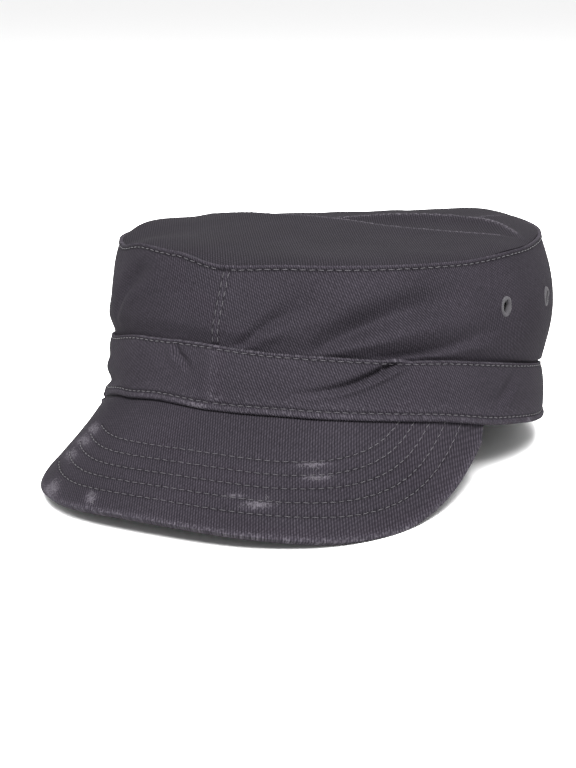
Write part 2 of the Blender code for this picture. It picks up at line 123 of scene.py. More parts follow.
# Eyelets
EYELET_WIDTH = 6.8 * MM
EYELET_HEIGHT = 8.2 * MM
EYELET_HOLE_WIDTH = 3.4 * MM
EYELET_HOLE_HEIGHT = 4.7 * MM
EYELET_PROUD = 0.35 * MM
EYELET_THREADS = 34
EYELET_COLUMNS = 4 * EYELET_THREADS
EYELET_SIDES = 12
EYELET_THREAD_RELIEF = 0.13
EYELET_UNEVENNESS = 0.05
EYELET_BULGES = 5
EYELET_PLUG_LENGTH = 8.0 * MM
EYELET_PLUG_SIDES = 32
EYELET_ANGLES = {"front": 72.5, "back": 93.5}
EYELET_LEVEL = 0.70

# Cloth
WALL_CLOTH = 1.6 * MM
BAND_CLOTH = 1.5 * MM
PANEL_CLOTH = 1.6 * MM
SEAM_GAP = 0.3 * MM
CLOTH_ROUNDING = 0.55 * MM
EDGE_SEGMENTS = 3
EDGE_ANGLE = 60.0
SHARP_ANGLE = 50.0
ALL_SMOOTH = 180.0

# Slight unevenness of the cloth: how far apart its bumps are, and how high
Bumps = namedtuple("Bumps", "size depth")
CLOTH_BUMPS = Bumps(16.0 * MM, 0.28 * MM)
BAND_BUMPS = Bumps(16.0 * MM, 0.224 * MM)
HEM_BUMPS = Bumps(7.0 * MM, 0.22 * MM)
PEAK_BUMPS = Bumps(22.0 * MM, 0.30 * MM)

# Stitching: length of a stitch, from one stitch to the next, thread, and the groove that a row presses in
STITCH_LENGTH = 2.4 * MM
STITCH_PITCH = 3.2 * MM
THREAD_WIDTH = 0.32 * MM
STITCH_LIFT = 0.05 * MM
STITCH_WANDER = 0.10
STITCH_GROOVE = 0.34 * MM
STITCH_GROOVE_WIDTH = 0.75 * MM
RIM_STITCH_DROP = 1.6 * MM
BAND_STITCH_DROP = 1.3 * MM
HEM_STITCH_RISE = 0.55 * MM
SEAM_STITCH_SPACING = 2.3 * MM
SEAM_PROUD = 0.60 * MM
BAND_SEAM_PROUD = 0.30 * MM
SEAM_TOP_ANGLE = 2.2
SEAM_LOW_ANGLE = -0.6
SEAM_LOW_LEVEL = 0.465
SEAM_LEAN_SPREAD = 12.0
PEAK_FIRST_ROW = 10.6 * MM
PEAK_ROW_SPACING = 6.1 * MM
PEAK_STITCH_ROWS = 5
# Width of the painted shade along a row's groove
GROOVE_PAINTED_SHADE_WIDTH = 0.55 * MM
STITCH_SIDES = 6
STITCH_WANDER_STEP = 2.4
ROUND_ROW_ANGLES = (0.6, 359.4)
SEAM_ROW_START = 0.01
SEAM_ROW_TOPS = {0.0: 0.965, 180.0: 0.975}
PLUMB_START = 8.0 * MM
UNDERSIDE_DROP = 1.4 * PEAK_THICKNESS
# How far short of its right and left ends a row along the peak stops, in radians of the outline's turn
ROW_END_MARGINS = (0.72, 0.02)
NO_MARGINS = (0.0, 0.0)

# Points along the path of a row: round the cap, up a seam, along the peak, and along the peak's edge
ROUND_ROW_POINTS = 2400
SEAM_ROW_POINTS = 120
PEAK_ROW_POINTS = 700
PEAK_EDGE_POINTS = 1600

# Columns and rows of each piece's grid, and how they are spread over the cloth
WALL_GRID = (330, 70)
BAND_GRID = (330, 36)
PANEL_GRID = (176, 176)
PEAK_GRID = (330, 100)
BINDING_GRID = (560, 16)
COLUMN_SHARES = (0.0, 0.05, 0.96, 1.0)
COLUMN_ANGLES = (0.0, 3.2, 177.0, 180.0)
WALL_ROW_SHARES = (0.0, 0.08, 0.84, 1.0)
RIM_ROWS_HEIGHT = 3.6 * MM
BAND_ROW_SHARES = (0.0, 0.2, 0.78, 1.0)
BAND_ROW_HEIGHTS = (0.0, 0.11, 0.87, 1.0)
PEAK_ROW_SHARES = (0.0, 0.2, 1.0)
PEAK_ROW_FORWARD = (1.0, 0.9, 0.0)

# Wear, painted light and painted shade: the share of the cloth that is rubbed lighter or painted lighter, and
# how far from an edge or a seam.
# The spots on the hem are at an angle, and their widths are in degrees
Rub = namedtuple("Rub", "share width")
RIM_RUB = Rub(0.55, 0.8 * MM)
WALL_SEAM_RUB = Rub(0.24, 0.7 * SEAM_STITCH_SPACING)
BAND_TOP_RUB = Rub(0.60, 0.6 * MM)
BAND_SEAM_RUB = Rub(0.26, SEAM_STITCH_SPACING)
# The peak's rolled edge: rubbed lighter, and a painted highlight where the roll catches the light
PEAK_EDGE_RUB_AND_HIGHLIGHT = Rub(0.60, 2.6 * MM)
# The band painted a little lighter all over, and towards the hem a painted light where the band flares and
# faces up
BAND_LIGHTER_ALL_OVER = 0.14
BAND_HEM_PAINTED_LIGHT = 0.42
BAND_HEM_PAINTED_LIGHT_HEIGHT = 12.0 * MM
# Painted highlight along the crests of the top panel's creases
CREST_PAINTED_HIGHLIGHT = 0.95
HEM_RUB = 0.50
HEM_SPOTS = {-4.0: Rub(0.40, 2.6), 87.0: Rub(0.50, 1.4)}
# Painted shade in the grooves of the seam rows and the peak's rows, as a share
SEAM_ROW_PAINTED_SHADE = 0.6
PEAK_ROW_PAINTED_SHADE = 0.8

# Where the cap lies: tipped back about the back of its hem, and the shared frame's origin in that place
TIPPED_BACK = 10.344
FRAME_ORIGIN = (3.026 * MM, -18.110 * MM, 1.222 * MM)

# Mean sizes that turn angle and level into distances along the wall
MEAN_RADIUS = (HEM_LENGTH + HEM_WIDTH) / 4
MEAN_HEIGHT = (WALL_FRONT_HEIGHT + WALL_BACK_HEIGHT) / 2

# Where the peak's ends meet the hem: distance across, and how far they hang below the peak's middle
PEAK_END_X = HEM_WIDTH / 2 * math.sin(math.radians(PEAK_SPAN))
PEAK_END_BACK = HEM_LENGTH / 2 * (1.0 - math.cos(math.radians(PEAK_SPAN)))
PEAK_END_DROP = math.sin(math.radians(PEAK_PITCH)) * PEAK_END_BACK

# Shares of a named wave once round the cap
WaveRow = namedtuple("WaveRow", "angle share")
HEM_WAVE_ROWS = (
    WaveRow(-180, 0.00), WaveRow(-155, 0.00), WaveRow(-125, 0.40), WaveRow(-90, -0.40), WaveRow(-55, -1.50),
    WaveRow(-32, -0.20), WaveRow(-15, 0.50), WaveRow(0, 0.20), WaveRow(20, 0.45), WaveRow(52, 0.85),
    WaveRow(75, 0.10), WaveRow(95, -0.15), WaveRow(125, 0.40), WaveRow(155, 0.00),
)
BAND_WAVE_ROWS = (
    WaveRow(-180, 0.00), WaveRow(-100, -0.30), WaveRow(-50, -1.00), WaveRow(-24, 0.00), WaveRow(-8, 0.15),
    WaveRow(15, -0.20), WaveRow(40, -0.10), WaveRow(58, 0.25), WaveRow(90, 0.10),
)
RIM_WAVE_ROWS = (
    WaveRow(-180, -0.15), WaveRow(-165, -0.70), WaveRow(-145, -1.05), WaveRow(-100, -0.40),
    WaveRow(-44, -0.20), WaveRow(-27, 0.65), WaveRow(-14, 0.50), WaveRow(0, -0.30), WaveRow(18, 0.05),
    WaveRow(60, 0.05), WaveRow(82, 0.40), WaveRow(115, 0.85), WaveRow(150, 1.10),
)
BULGE_ROWS = (
    WaveRow(-180, 0.60), WaveRow(-120, 0.60), WaveRow(-85, 0.50), WaveRow(-40, 0.34), WaveRow(0, 0.14),
    WaveRow(40, 0.45), WaveRow(90, 0.90),
)

# Folds pressed into the cloth, each from point to point along its valley: depth there, and how far the
# cloth slopes down to it from above and from below, all in millimetres
FoldPoint = namedtuple("FoldPoint", "angle level depth above below")
WALL_FOLDS = {
    "tuck by the front seam": (
        FoldPoint(5.0, 0.44, 0.5, 2.0, 2.0), FoldPoint(11.8, 0.59, 1.3, 3.0, 2.6),
        FoldPoint(17.0, 0.68, 1.1, 4.5, 3.5), FoldPoint(26.0, 0.80, 0.0, 7.0, 5.0),
    ),
    "broad dent over the band": (
        FoldPoint(22.0, 0.44, 0.2, 4.0, 3.0), FoldPoint(28.0, 0.52, 2.0, 6.0, 3.0),
        FoldPoint(35.0, 0.60, 3.2, 8.0, 3.8), FoldPoint(43.0, 0.69, 3.0, 8.0, 4.4),
        FoldPoint(52.0, 0.76, 1.7, 8.0, 5.0), FoldPoint(63.0, 0.79, 0.0, 7.0, 5.0),
    ),
    "sharp tuck at the band": (
        FoldPoint(37.0, 0.40, 0.2, 2.0, 1.4), FoldPoint(43.0, 0.425, 1.1, 3.0, 1.5),
        FoldPoint(50.0, 0.45, 1.5, 3.6, 1.6), FoldPoint(57.0, 0.475, 1.0, 3.4, 2.0),
        FoldPoint(66.0, 0.56, 0.5, 4.5, 3.5), FoldPoint(73.0, 0.64, 0.0, 5.0, 4.0),
    ),
    "soft dents on the right": (
        FoldPoint(-44.0, 0.52, 0.0, 5.0, 4.0), FoldPoint(-38.0, 0.66, 1.3, 5.0, 4.0),
        FoldPoint(-31.0, 0.78, 1.8, 5.0, 4.0), FoldPoint(-25.0, 0.86, 0.8, 4.0, 4.0),
        FoldPoint(-20.0, 0.92, 0.0, 4.0, 4.0),
    ),
    "sag on the right side": (
        FoldPoint(-85.0, 0.58, 0.0, 7.0, 6.0), FoldPoint(-66.0, 0.63, 1.2, 8.0, 6.0),
        FoldPoint(-48.0, 0.72, 0.0, 7.0, 6.0),
    ),
    "fold behind the left side": (
        FoldPoint(112.0, 0.42, 0.0, 6.0, 5.0), FoldPoint(128.0, 0.54, 1.4, 9.0, 6.0),
        FoldPoint(144.0, 0.68, 0.8, 9.0, 7.0), FoldPoint(154.0, 0.76, 0.0, 8.0, 7.0),
    ),
    "fold behind the right side": (
        FoldPoint(-156.0, 0.70, 0.0, 8.0, 6.0), FoldPoint(-142.0, 0.58, 1.4, 9.0, 6.0),
        FoldPoint(-126.0, 0.50, 0.9, 8.0, 6.0), FoldPoint(-112.0, 0.44, 0.0, 6.0, 5.0),
    ),
}
BAND_FOLDS = {
    "crease across the band": (
        FoldPoint(17.0, 0.14, 0.0, 1.4, 1.2), FoldPoint(25.0, 0.18, 0.7, 1.6, 1.3),
        FoldPoint(31.2, 0.22, 1.4, 1.8, 1.3), FoldPoint(38.8, 0.31, 1.9, 2.0, 1.3),
        FoldPoint(42.6, 0.37, 1.9, 2.0, 1.3), FoldPoint(46.0, 0.40, 0.8, 1.6, 1.2),
    ),
    "bend by the front": (
        FoldPoint(-11.5, 0.42, 0.5, 1.4, 1.6), FoldPoint(-11.0, 0.34, 0.9, 1.5, 1.8),
        FoldPoint(-7.6, 0.305, 0.8, 1.5, 1.8), FoldPoint(-5.6, 0.22, 0.0, 1.5, 1.6),
    ),
    "slack by the left side": (
        FoldPoint(70.0, 0.10, 0.0, 2.4, 2.0), FoldPoint(75.5, 0.20, 0.8, 3.0, 2.4),
        FoldPoint(82.0, 0.30, 0.0, 3.0, 2.4),
    ),
    "pinch over the hem on the right": (
        FoldPoint(-104.0, 0.07, 0.0, 4.0, 2.4), FoldPoint(-84.0, 0.09, 1.4, 5.0, 2.6),
        FoldPoint(-54.0, 0.09, 1.4, 5.0, 2.6), FoldPoint(-32.0, 0.09, 0.0, 4.0, 2.4),
    ),
    "slack on the right": (
        FoldPoint(-70.0, 0.16, 0.0, 3.0, 2.4), FoldPoint(-58.0, 0.22, 0.7, 3.5, 3.0),
        FoldPoint(-44.0, 0.31, 0.0, 3.0, 3.0),
    ),
}
FOLD_STRENGTH = 2.0
# The cloth below a fold stands up in a ridge: its share of the fold's depth, and its distance in widths
FOLD_RIDGE = 0.35
FOLD_RIDGE_AT = 1.9
# How fast the wall's folds fade in above the band, and the band's fade out below its upper edge
WALL_FADE_RATE = 20.0
BAND_FADE_RATE = 7.0

# Creases along the top panel: crest to crest, in shares of the panel's half width and half length, the
# height of the crest, and how far it slopes down in front and behind, in millimetres
CreasePoint = namedtuple("CreasePoint", "x y height front back")
PANEL_CREASES = {
    "front crease": (
        CreasePoint(-0.86, 0.16, 0.4, 12.0, 3.0), CreasePoint(-0.64, 0.10, 2.2, 24.0, 3.2),
        CreasePoint(-0.33, 0.00, 3.4, 34.0, 3.0), CreasePoint(-0.10, -0.02, 3.8, 36.0, 2.8),
        CreasePoint(0.10, -0.07, 3.7, 34.0, 2.6), CreasePoint(0.30, -0.12, 3.4, 28.0, 2.4),
        CreasePoint(0.52, -0.14, 3.0, 22.0, 2.4), CreasePoint(0.78, -0.06, 2.2, 14.0, 2.2),
        CreasePoint(0.93, 0.04, 0.4, 8.0, 2.0),
    ),
    "back crease": (
        CreasePoint(-0.20, 0.09, 0.8, 6.0, 3.0), CreasePoint(0.02, 0.16, 2.6, 7.0, 2.6),
        CreasePoint(0.25, 0.26, 3.4, 8.0, 2.6), CreasePoint(0.60, 0.30, 3.2, 8.0, 2.6),
        CreasePoint(0.80, 0.22, 2.4, 7.0, 2.6), CreasePoint(0.96, 0.06, 0.6, 5.0, 2.2),
    ),
    "soft crease at the back": (
        CreasePoint(0.50, 0.24, 0.5, 6.0, 4.0), CreasePoint(0.59, 0.46, 1.2, 10.0, 6.0),
        CreasePoint(0.74, 0.60, 0.4, 8.0, 6.0),
    ),
}
CREASE_STRENGTH = 1.4
CREASE_SHARPNESS = 1.05
# Width of the painted highlight along each crest, and the crest height from which it shows
CREST_WIDTH = 1.7 * MM
CREST_SHOWS_FROM = 2.0 * MM

# Patches where the peak's cloth is rubbed through: middle across and along its slope, half sizes in
# millimetres, how far its width leans from straight across in degrees, and the number of loose fibres
Patch = namedtuple("Patch", "x reach half_width half_length lean fibres")
WORN_PATCHES = (
    Patch(-54.5, 6.5, 8.2, 3.0, 41, 8),
    Patch(-55.5, 13.0, 8.8, 3.4, 34, 10),
    Patch(-57.0, 20.5, 8.2, 3.0, 36, 9),
    Patch(-52.5, 39.5, 7.4, 3.2, 40, 9),
    Patch(-28.0, 46.5, 4.6, 2.4, 49, 7),
    Patch(24.9, 35.7, 4.2, 1.1, -18, 6),
    Patch(33.7, 36.3, 5.7, 2.7, -23, 16),
    Patch(43.5, 12.7, 6.5, 1.5, -31, 10),
    Patch(46.9, 16.6, 5.6, 1.9, -36, 12),
)
WORN_EDGE_POWER = 1.5

# Loose fibres on the worn patches: scatter as a share of the patch, lengths in millimetres, and the shape
FIBRE_SEED = 7
FIBRE_SCATTER = 0.6
FIBRE_LENGTHS = (0.4, 1.1)
FIBRE_THICKNESS = 0.16 * MM
FIBRE_ROOT = 0.5
FIBRE_TIP = 0.2
FIBRE_CUTS = (-0.4, 0.4)
FIBRE_ARCH = 1.6

# How far the twill's ridges lean on each piece, in degrees, and how light its cloth is; the top panel's cloth
# is painted darker as painted shade
SIDE_LEAN = -24.0
SIDE_SHADE = 0.94
PEAK_LEAN = 22.6
PEAK_SHADE = 0.96
PANEL_LEAN = -31.0
PANEL_PAINTED_SHADE = 0.66

# View of the photograph
CAMERA_AZIMUTH = 25.22
CAMERA_ELEVATION = 12.85
CAMERA_DISTANCE = 620.0 * MM
CAMERA_TARGET = (0.0, 0.0, 50.0 * MM)
FOCAL_PIXELS = 1530.0
TARGET_PIXEL = (308.8, 327.8)
IMAGE_WIDTH = 576
IMAGE_HEIGHT = 768
SENSOR_WIDTH = 36.0
CLIP_START = 10.0 * MM

# Studio: lamps and floor, in metres and watts, and the colour of the surroundings
Lamp = namedtuple("Lamp", "name place size watts")
LAMPS = (
    Lamp("key_softbox", (0.52, -1.18, 1.55), 0.9, 150.0),
    Lamp("back_softbox", (-0.3, 1.4, 1.4), 1.1, 50.0),
)
FLOOR_RADIUS = 30.0
FLOOR_SIDES = 96
SURROUNDINGS = "#ffffff"
SURROUNDINGS_STRENGTH = 1.0


# Numbers along the cloth

def around(rows, degrees):
    """Smooth value at each angle, from rows that go once round the cap."""
    knots = np.array([row.angle for row in rows] + [rows[0].angle + 360.0])
    shares = np.array([row.share for row in rows] + [rows[0].share])
    turned = (np.asarray(degrees) - knots[0]) % 360.0 + knots[0]
    index = np.clip(np.searchsorted(knots, turned, side="right") - 1, 0, len(rows) - 1)
    part = (turned - knots[index]) / (knots[index + 1] - knots[index])
    return shares[index] + (shares[index + 1] - shares[index]) * ease(part)


def ease(part):
    """Smooth step from 0 to 1."""
    part = np.clip(part, 0.0, 1.0)
    return part * part * (3.0 - 2.0 * part)


def between(value, start, end):
    """Smooth step from 0 at one value to 1 at another."""
    return ease((value - start) / (end - start))


def signed_power(values, power):
    """Power of each number's size, with the number's own sign."""
    return np.sign(values) * np.abs(values) ** power


def hump(distance, width):
    """Smooth hump of height 1 at distance 0."""
    return np.exp(-((distance / width) ** 2))


def unit(vectors):
    """Vectors brought to length 1."""
    return vectors / np.linalg.norm(vectors, axis=-1, keepdims=True)


def to_stretch(across, up, start, end):
    """Distance to a straight stretch, the share of the way along it, and the side: above is positive."""
    run = end[0] - start[0]
    rise = end[1] - start[1]
    part = np.clip(((across - start[0]) * run + (up - start[1]) * rise) / (run ** 2 + rise ** 2), 0.0, 1.0)
    away = np.hypot(across - start[0] - part * run, up - start[1] - part * rise)
    side = run * (up - start[1]) - rise * (across - start[0])
    return away, part, side


def rounded(points):
    """Path with its corners cut twice, so that a fold along it bends softly."""
    kind = type(points[0])
    path = np.array(points)
    for _ in range(2):
        near = 0.75 * path[:-1] + 0.25 * path[1:]
        far = 0.25 * path[:-1] + 0.75 * path[1:]
        between = np.stack([near, far], axis=1).reshape(-1, path.shape[1])
        path = np.concatenate([path[:1], between[1:-1], path[-1:]])
    return [kind(*point) for point in path.tolist()]


def fold_offset(folds, degrees, level):
    """How far a set of folds moves the cloth outward; it is negative in a valley."""
    across = np.radians(degrees) * MEAN_RADIUS
    up = level * MEAN_HEIGHT
    total = np.zeros(across.shape)
    for points in folds.values():
        nearest = np.full(across.shape, np.inf)
        offset = np.zeros(across.shape)
        path = rounded(points)
        for start, end in zip(path, path[1:]):
            start_place = (math.radians(start.angle) * MEAN_RADIUS, start.level * MEAN_HEIGHT)
            end_place = (math.radians(end.angle) * MEAN_RADIUS, end.level * MEAN_HEIGHT)
            away, part, side = to_stretch(across, up, start_place, end_place)
            depth = (start.depth + (end.depth - start.depth) * ease(part)) * FOLD_STRENGTH * MM
            above = (start.above + (end.above - start.above) * part) * MM
            below = (start.below + (end.below - start.below) * part) * MM
            width = np.where(side > 0, above, below)
            ridge = np.where(side > 0, 0.0, FOLD_RIDGE) * hump(away - FOLD_RIDGE_AT * width, width)
            closer = away < nearest
            offset = np.where(closer, depth * (ridge - hump(away, width)), offset)
            nearest = np.where(closer, away, nearest)
        total += offset
    return total


def rumple(points, bumps):
    """Slight unevenness of soft cloth at each point."""
    flat = points.reshape(-1, 3) / bumps.size
    values = [noise.noise(Vector(point)) for point in flat.tolist()]
    return bumps.depth * np.array(values).reshape(points.shape[:-1])


# Hem, rim and the slanted wall between them

def outward(degrees):
    """Level unit direction that points out of the cap at each angle."""
    turn = np.radians(degrees)
    return unit(np.stack([np.sin(turn) / HEM_WIDTH, -np.cos(turn) / HEM_LENGTH, 0.0 * turn], axis=-1))


def hem(degrees):
    """Outer face of the band's lower edge."""
    turn = np.radians(degrees)
    wave = HEM_WAVE * around(HEM_WAVE_ROWS, degrees)
    flare = HEM_FLARE * hump(degrees - HEM_FLARE_ANGLE, HEM_FLARE_SPREAD)
    return np.stack([HEM_WIDTH / 2 * np.sin(turn) - flare, -HEM_LENGTH / 2 * np.cos(turn), wave], axis=-1)


def rim_slope_height(share_back):
    """Height of the rim's slanted plane, from -1 at the front to 1 at the back."""
    middle = (WALL_FRONT_HEIGHT + WALL_BACK_HEIGHT) / 2
    return middle + (WALL_BACK_HEIGHT - WALL_FRONT_HEIGHT) / 2 * share_back


def rim(degrees):
    """Outer edge of the crown, where wall and top panel meet."""
    turn = np.radians(degrees)
    x = RIM_WIDTH / 2 * np.sin(turn)
    y = -RIM_LENGTH / 2 * np.cos(turn) - RIM_FORWARD
    z = rim_slope_height(-np.cos(turn)) + RIM_WAVE * around(RIM_WAVE_ROWS, degrees)
    return np.stack([x, y, z], axis=-1)


def slant(degrees, level):
    """Point between hem and rim."""
    return hem(degrees) * (1.0 - level)[..., None] + rim(degrees) * level[..., None]


def wall_height(degrees):
    """Height of the rim above the hem."""
    return rim(degrees)[..., 2] - hem(degrees)[..., 2]


def band_level(degrees):
    """Level of the band's upper edge, from its heights at the front, the sides and the back."""
    turn = np.radians(degrees)
    ends = BAND_FRONT_HEIGHT + BAND_BACK_HEIGHT
    mean = (ends + 2 * BAND_SIDE_HEIGHT) / 4
    sway = (ends - 2 * BAND_SIDE_HEIGHT) / 4
    tilt = (BAND_FRONT_HEIGHT - BAND_BACK_HEIGHT) / 2
    top = mean + tilt * np.cos(turn) + sway * np.cos(2 * turn) + BAND_WAVE * around(BAND_WAVE_ROWS, degrees)
    return (top - hem(degrees)[..., 2]) / wall_height(degrees)


def seam_lean(degrees, level):
    """Angles drawn over near the front, so that the seam there leans as the sewn one does."""
    climb = (level - SEAM_LOW_LEVEL) / (1.0 - SEAM_LOW_LEVEL)
    lean = SEAM_LOW_ANGLE + (SEAM_TOP_ANGLE - SEAM_LOW_ANGLE) * np.clip(climb, 0.0, 1.0)
    return degrees + lean * hump(degrees, SEAM_LEAN_SPREAD)


def from_seam(degrees):
    """Distance round the cap to the nearer of the centre front and centre back seams."""
    to_back = np.abs(np.abs(degrees) - 180.0)
    return np.radians(np.minimum(np.abs(degrees), to_back)) * MEAN_RADIUS


def seam_strip(degrees, proud):
    """Folded seam allowance that stands proud between its two rows of stitches."""
    half = SEAM_STITCH_SPACING / 2
    away = from_seam(degrees)
    strip = proud * (1.0 - ease((away - half) / half))
    return strip - STITCH_GROOVE / 2 * hump(away - half, STITCH_GROOVE_WIDTH / 2)


def stitch_pressure(distance):
    """Groove that a row of stitches presses into the cloth."""
    return STITCH_GROOVE * hump(distance, STITCH_GROOVE_WIDTH)


def groove_painted_shade(distance):
    """How much painted shade darkens the groove of a row of stitches."""
    return hump(distance, GROOVE_PAINTED_SHADE_WIDTH)


def rubbed_by(rub, distance):
    """Share of the cloth that is rubbed lighter at a distance from an edge, a seam or a spot; at the peak's
    edge it is also a painted highlight.
    """
    return rub.share * hump(distance, rub.width)


def band_folds(degrees, level):
    """How far the band's folds move it, and the wall behind it; they fade out at its upper edge."""
    height_share = np.clip(level / band_level(degrees), 0.0, 1.0)
    return fold_offset(BAND_FOLDS, degrees, level) * ease((1.0 - height_share) * BAND_FADE_RATE)


def wall_face(degrees, level):
    """Outer face of the wall: behind the band, then bulging out above it, and a turned ridge at the rim."""
    above = np.clip((level - band_level(degrees)) / (1.0 - band_level(degrees)), 0.0, 1.0)
    over_band = ease(above * WALL_FADE_RATE)
    to_rim = (1.0 - level) * wall_height(degrees)
    at_side = hump(degrees - STEP_OUT_SIDE_ANGLE, STEP_OUT_SIDE_SPREAD)
    step_out = STEP_OUT_END * (1.0 - (1.0 - STEP_OUT_SIDE_SHARE) * at_side)
    behind_band = (BAND_CLOTH + SEAM_GAP) * (1.0 - ease(above / step_out))
    bulge = WALL_BULGE * around(BULGE_ROWS, degrees) * np.sin(math.pi * above ** BULGE_LIFT)
    ridge = RIM_RIDGE * (1.0 - between(to_rim, RIM_STITCH_DROP, RIM_RIDGE_HEIGHT))
    offset = bulge + ridge - behind_band - stitch_pressure(to_rim - RIM_STITCH_DROP)
    offset += fold_offset(WALL_FOLDS, degrees, level) * (1.0 - above ** FOLD_FADE_POWER) * over_band
    offset += band_folds(degrees, level) + seam_strip(degrees, SEAM_PROUD) * over_band
    leaned = seam_lean(degrees, level)
    return slant(leaned, level) + outward(leaned) * offset[..., None]


def band_face(degrees, level):
    """Outer face of the band, swelling a little at half its height."""
    height_share = np.clip(level / band_level(degrees), 0.0, 1.0)
    to_top = (band_level(degrees) - level) * wall_height(degrees)
    to_hem = level * wall_height(degrees) - BINDING_HEIGHT
    offset = BAND_SWELL * np.sin(math.pi * height_share) + band_folds(degrees, level)
    offset -= stitch_pressure(to_top - BAND_STITCH_DROP) + stitch_pressure(to_hem - HEM_STITCH_RISE)
    offset += BAND_SEAM_PROUD * hump(from_seam(degrees), SEAM_STITCH_SPACING)
    leaned = seam_lean(degrees, level)
    return slant(leaned, level) + outward(leaned) * offset[..., None]


# Top panel

def crease_shape(across, along):
    """How high the creases lift the top panel, and the share of a crest that each place has."""
    highest = np.zeros(across.shape)
    crest = np.zeros(across.shape)
    for points in PANEL_CREASES.values():
        nearest = np.full(across.shape, np.inf)
        lift = np.zeros(across.shape)
        path = rounded(points)
        for start, end in zip(path, path[1:]):
            start_place = (start.x * RIM_WIDTH / 2, start.y * RIM_LENGTH / 2)
            end_place = (end.x * RIM_WIDTH / 2, end.y * RIM_LENGTH / 2)
            away, part, side = to_stretch(across, along, start_place, end_place)
            height = (start.height + (end.height - start.height) * ease(part)) * CREASE_STRENGTH * MM
            front = (start.front + (end.front - start.front) * part) * MM
            back = (start.back + (end.back - start.back) * part) * MM
            closer = away < nearest
            slope = away / np.where(side < 0, front, back)
            lift = np.where(closer, height * np.exp(-(slope ** CREASE_SHARPNESS)), lift)
            nearest = np.where(closer, away, nearest)
        highest = np.maximum(highest, lift)
        crest = np.maximum(crest, hump(nearest, CREST_WIDTH) * ease(lift / CREST_SHOWS_FROM))
    return highest, crest


def panel_surface(share_x, share_y):
    """Upper face of the top panel, from shares of its half width and half length."""
    radius = np.hypot(share_x, share_y)
    degrees = np.degrees(np.arctan2(share_x, -share_y))
    edge = rim(degrees) - outward(degrees) * PANEL_INSET
    x = radius * edge[..., 0]
    y = radius * (edge[..., 1] + RIM_FORWARD) - RIM_FORWARD
    inside = 1.0 - radius ** PUFF_FADE_POWER
    from_rise = np.hypot(share_x - BACK_RISE_X, share_y - BACK_RISE_Y)
    puff = PANEL_PUFF + PANEL_BACK_RISE * hump(from_rise, BACK_RISE_SPREAD)
    from_side = np.hypot(share_x - SIDE_PUFF_X, share_y - SIDE_PUFF_Y)
    puff += SIDE_PUFF * hump(from_side, SIDE_PUFF_SPREAD)
    creases, _ = crease_shape(share_x * RIM_WIDTH / 2, share_y * RIM_LENGTH / 2)
    wave = RIM_WAVE * around(RIM_WAVE_ROWS, degrees) * radius ** WAVE_FADE_POWER
    z = rim_slope_height(share_y) + wave + (puff + creases) * inside - PANEL_SET_DOWN
    return np.stack([x, y, z], axis=-1)


# Peak

def peak_droop(x):
    """How far the peak's sides hang below its middle, so that its ends meet the hem."""
    return PEAK_END_DROP * np.abs(x / PEAK_END_X) ** PEAK_DROOP_POWER


def root_reach(x):
    """Distance forward along the peak's slope at which it is level with the hem."""
    return -peak_droop(x) / math.tan(math.radians(PEAK_PITCH))


def peak_surface(x, reach):
    """Upper face of the peak at a distance across and a distance forward along its slope."""
    pitch = math.radians(PEAK_PITCH)
    droop = peak_droop(x)
    y = -HEM_LENGTH / 2 + PEAK_TUCK - reach * math.cos(pitch) + droop * math.sin(pitch)
    corner = between(reach, *RIGHT_CORNER_REACH) * between(-x, *RIGHT_CORNER_SIDE)
    raised = RIGHT_CORNER_RAISED * corner
    z = -SEAM_GAP - PEAK_SET_DOWN - reach * math.sin(pitch) - droop * math.cos(pitch) + raised
    return np.stack([x - RIGHT_CORNER_SPREAD * corner, y, z], axis=-1)


def peak_edge(turn):
    """Edge of the peak from its right end to its left: distances across and forward along its slope."""
    power = 2.0 / PEAK_SQUARENESS
    end_reach = root_reach(PEAK_END_X)
    reach = end_reach + (PEAK_LENGTH - end_reach) * np.abs(np.sin(turn)) ** power
    return -PEAK_END_X * signed_power(np.cos(turn), power), reach


def peak_outline(turn, inset):
    """Line along the peak, from its right end to its left, a distance in from its edge."""
    x, reach = peak_edge(turn)
    steepest = PEAK_END_DROP * PEAK_DROOP_POWER / PEAK_END_X
    stretch = np.hypot(1.0, steepest * np.abs(x / PEAK_END_X) ** (PEAK_DROOP_POWER - 1.0))
    step_x = np.gradient(x) * stretch
    step_reach = np.gradient(reach)
    step = np.hypot(step_x, step_reach)
    return x + inset * step_reach / step / stretch, reach - inset * step_x / step


# Laying the cap on the table

def settle(points):
    """Points of the level cap where they rest: right side pressed in, tipped back, in the shared frame."""
    flat = points.reshape(-1, 3)
    share = np.minimum(flat[:, 0], 0.0) / (HEM_WIDTH / 2)
    low = np.clip(1.0 - flat[:, 2] / WALL_FRONT_HEIGHT, 0.0, 1.0)
    x = flat[:, 0] + (RIGHT_RIM_PRESSED + (RIGHT_HEM_PRESSED - RIGHT_RIM_PRESSED) * low) * share ** 2
    turn = math.radians(TIPPED_BACK)
    y = flat[:, 1] - HEM_LENGTH / 2
    tipped_y = HEM_LENGTH / 2 + y * math.cos(turn) + flat[:, 2] * math.sin(turn)
    tipped_z = flat[:, 2] * math.cos(turn) - y * math.sin(turn)
    settled = np.stack([x, tipped_y, tipped_z], axis=-1) - np.array(FRAME_ORIGIN)
    return settled.reshape(points.shape)


# Meshes

def deselect_all():
    """Leave nothing selected, so that the next operator acts on its own object only."""
    bpy.ops.object.select_all(action="DESELECT")


def select_only(piece):
    """Leave one object selected, and make it the active one."""
    deselect_all()
    piece.select_set(True)
    bpy.context.view_layer.objects.active = piece


def name_piece(name):
    """Name the object that was just added, and its mesh."""
    piece = bpy.context.object
    piece.name = name
    piece.data.name = name
    return piece


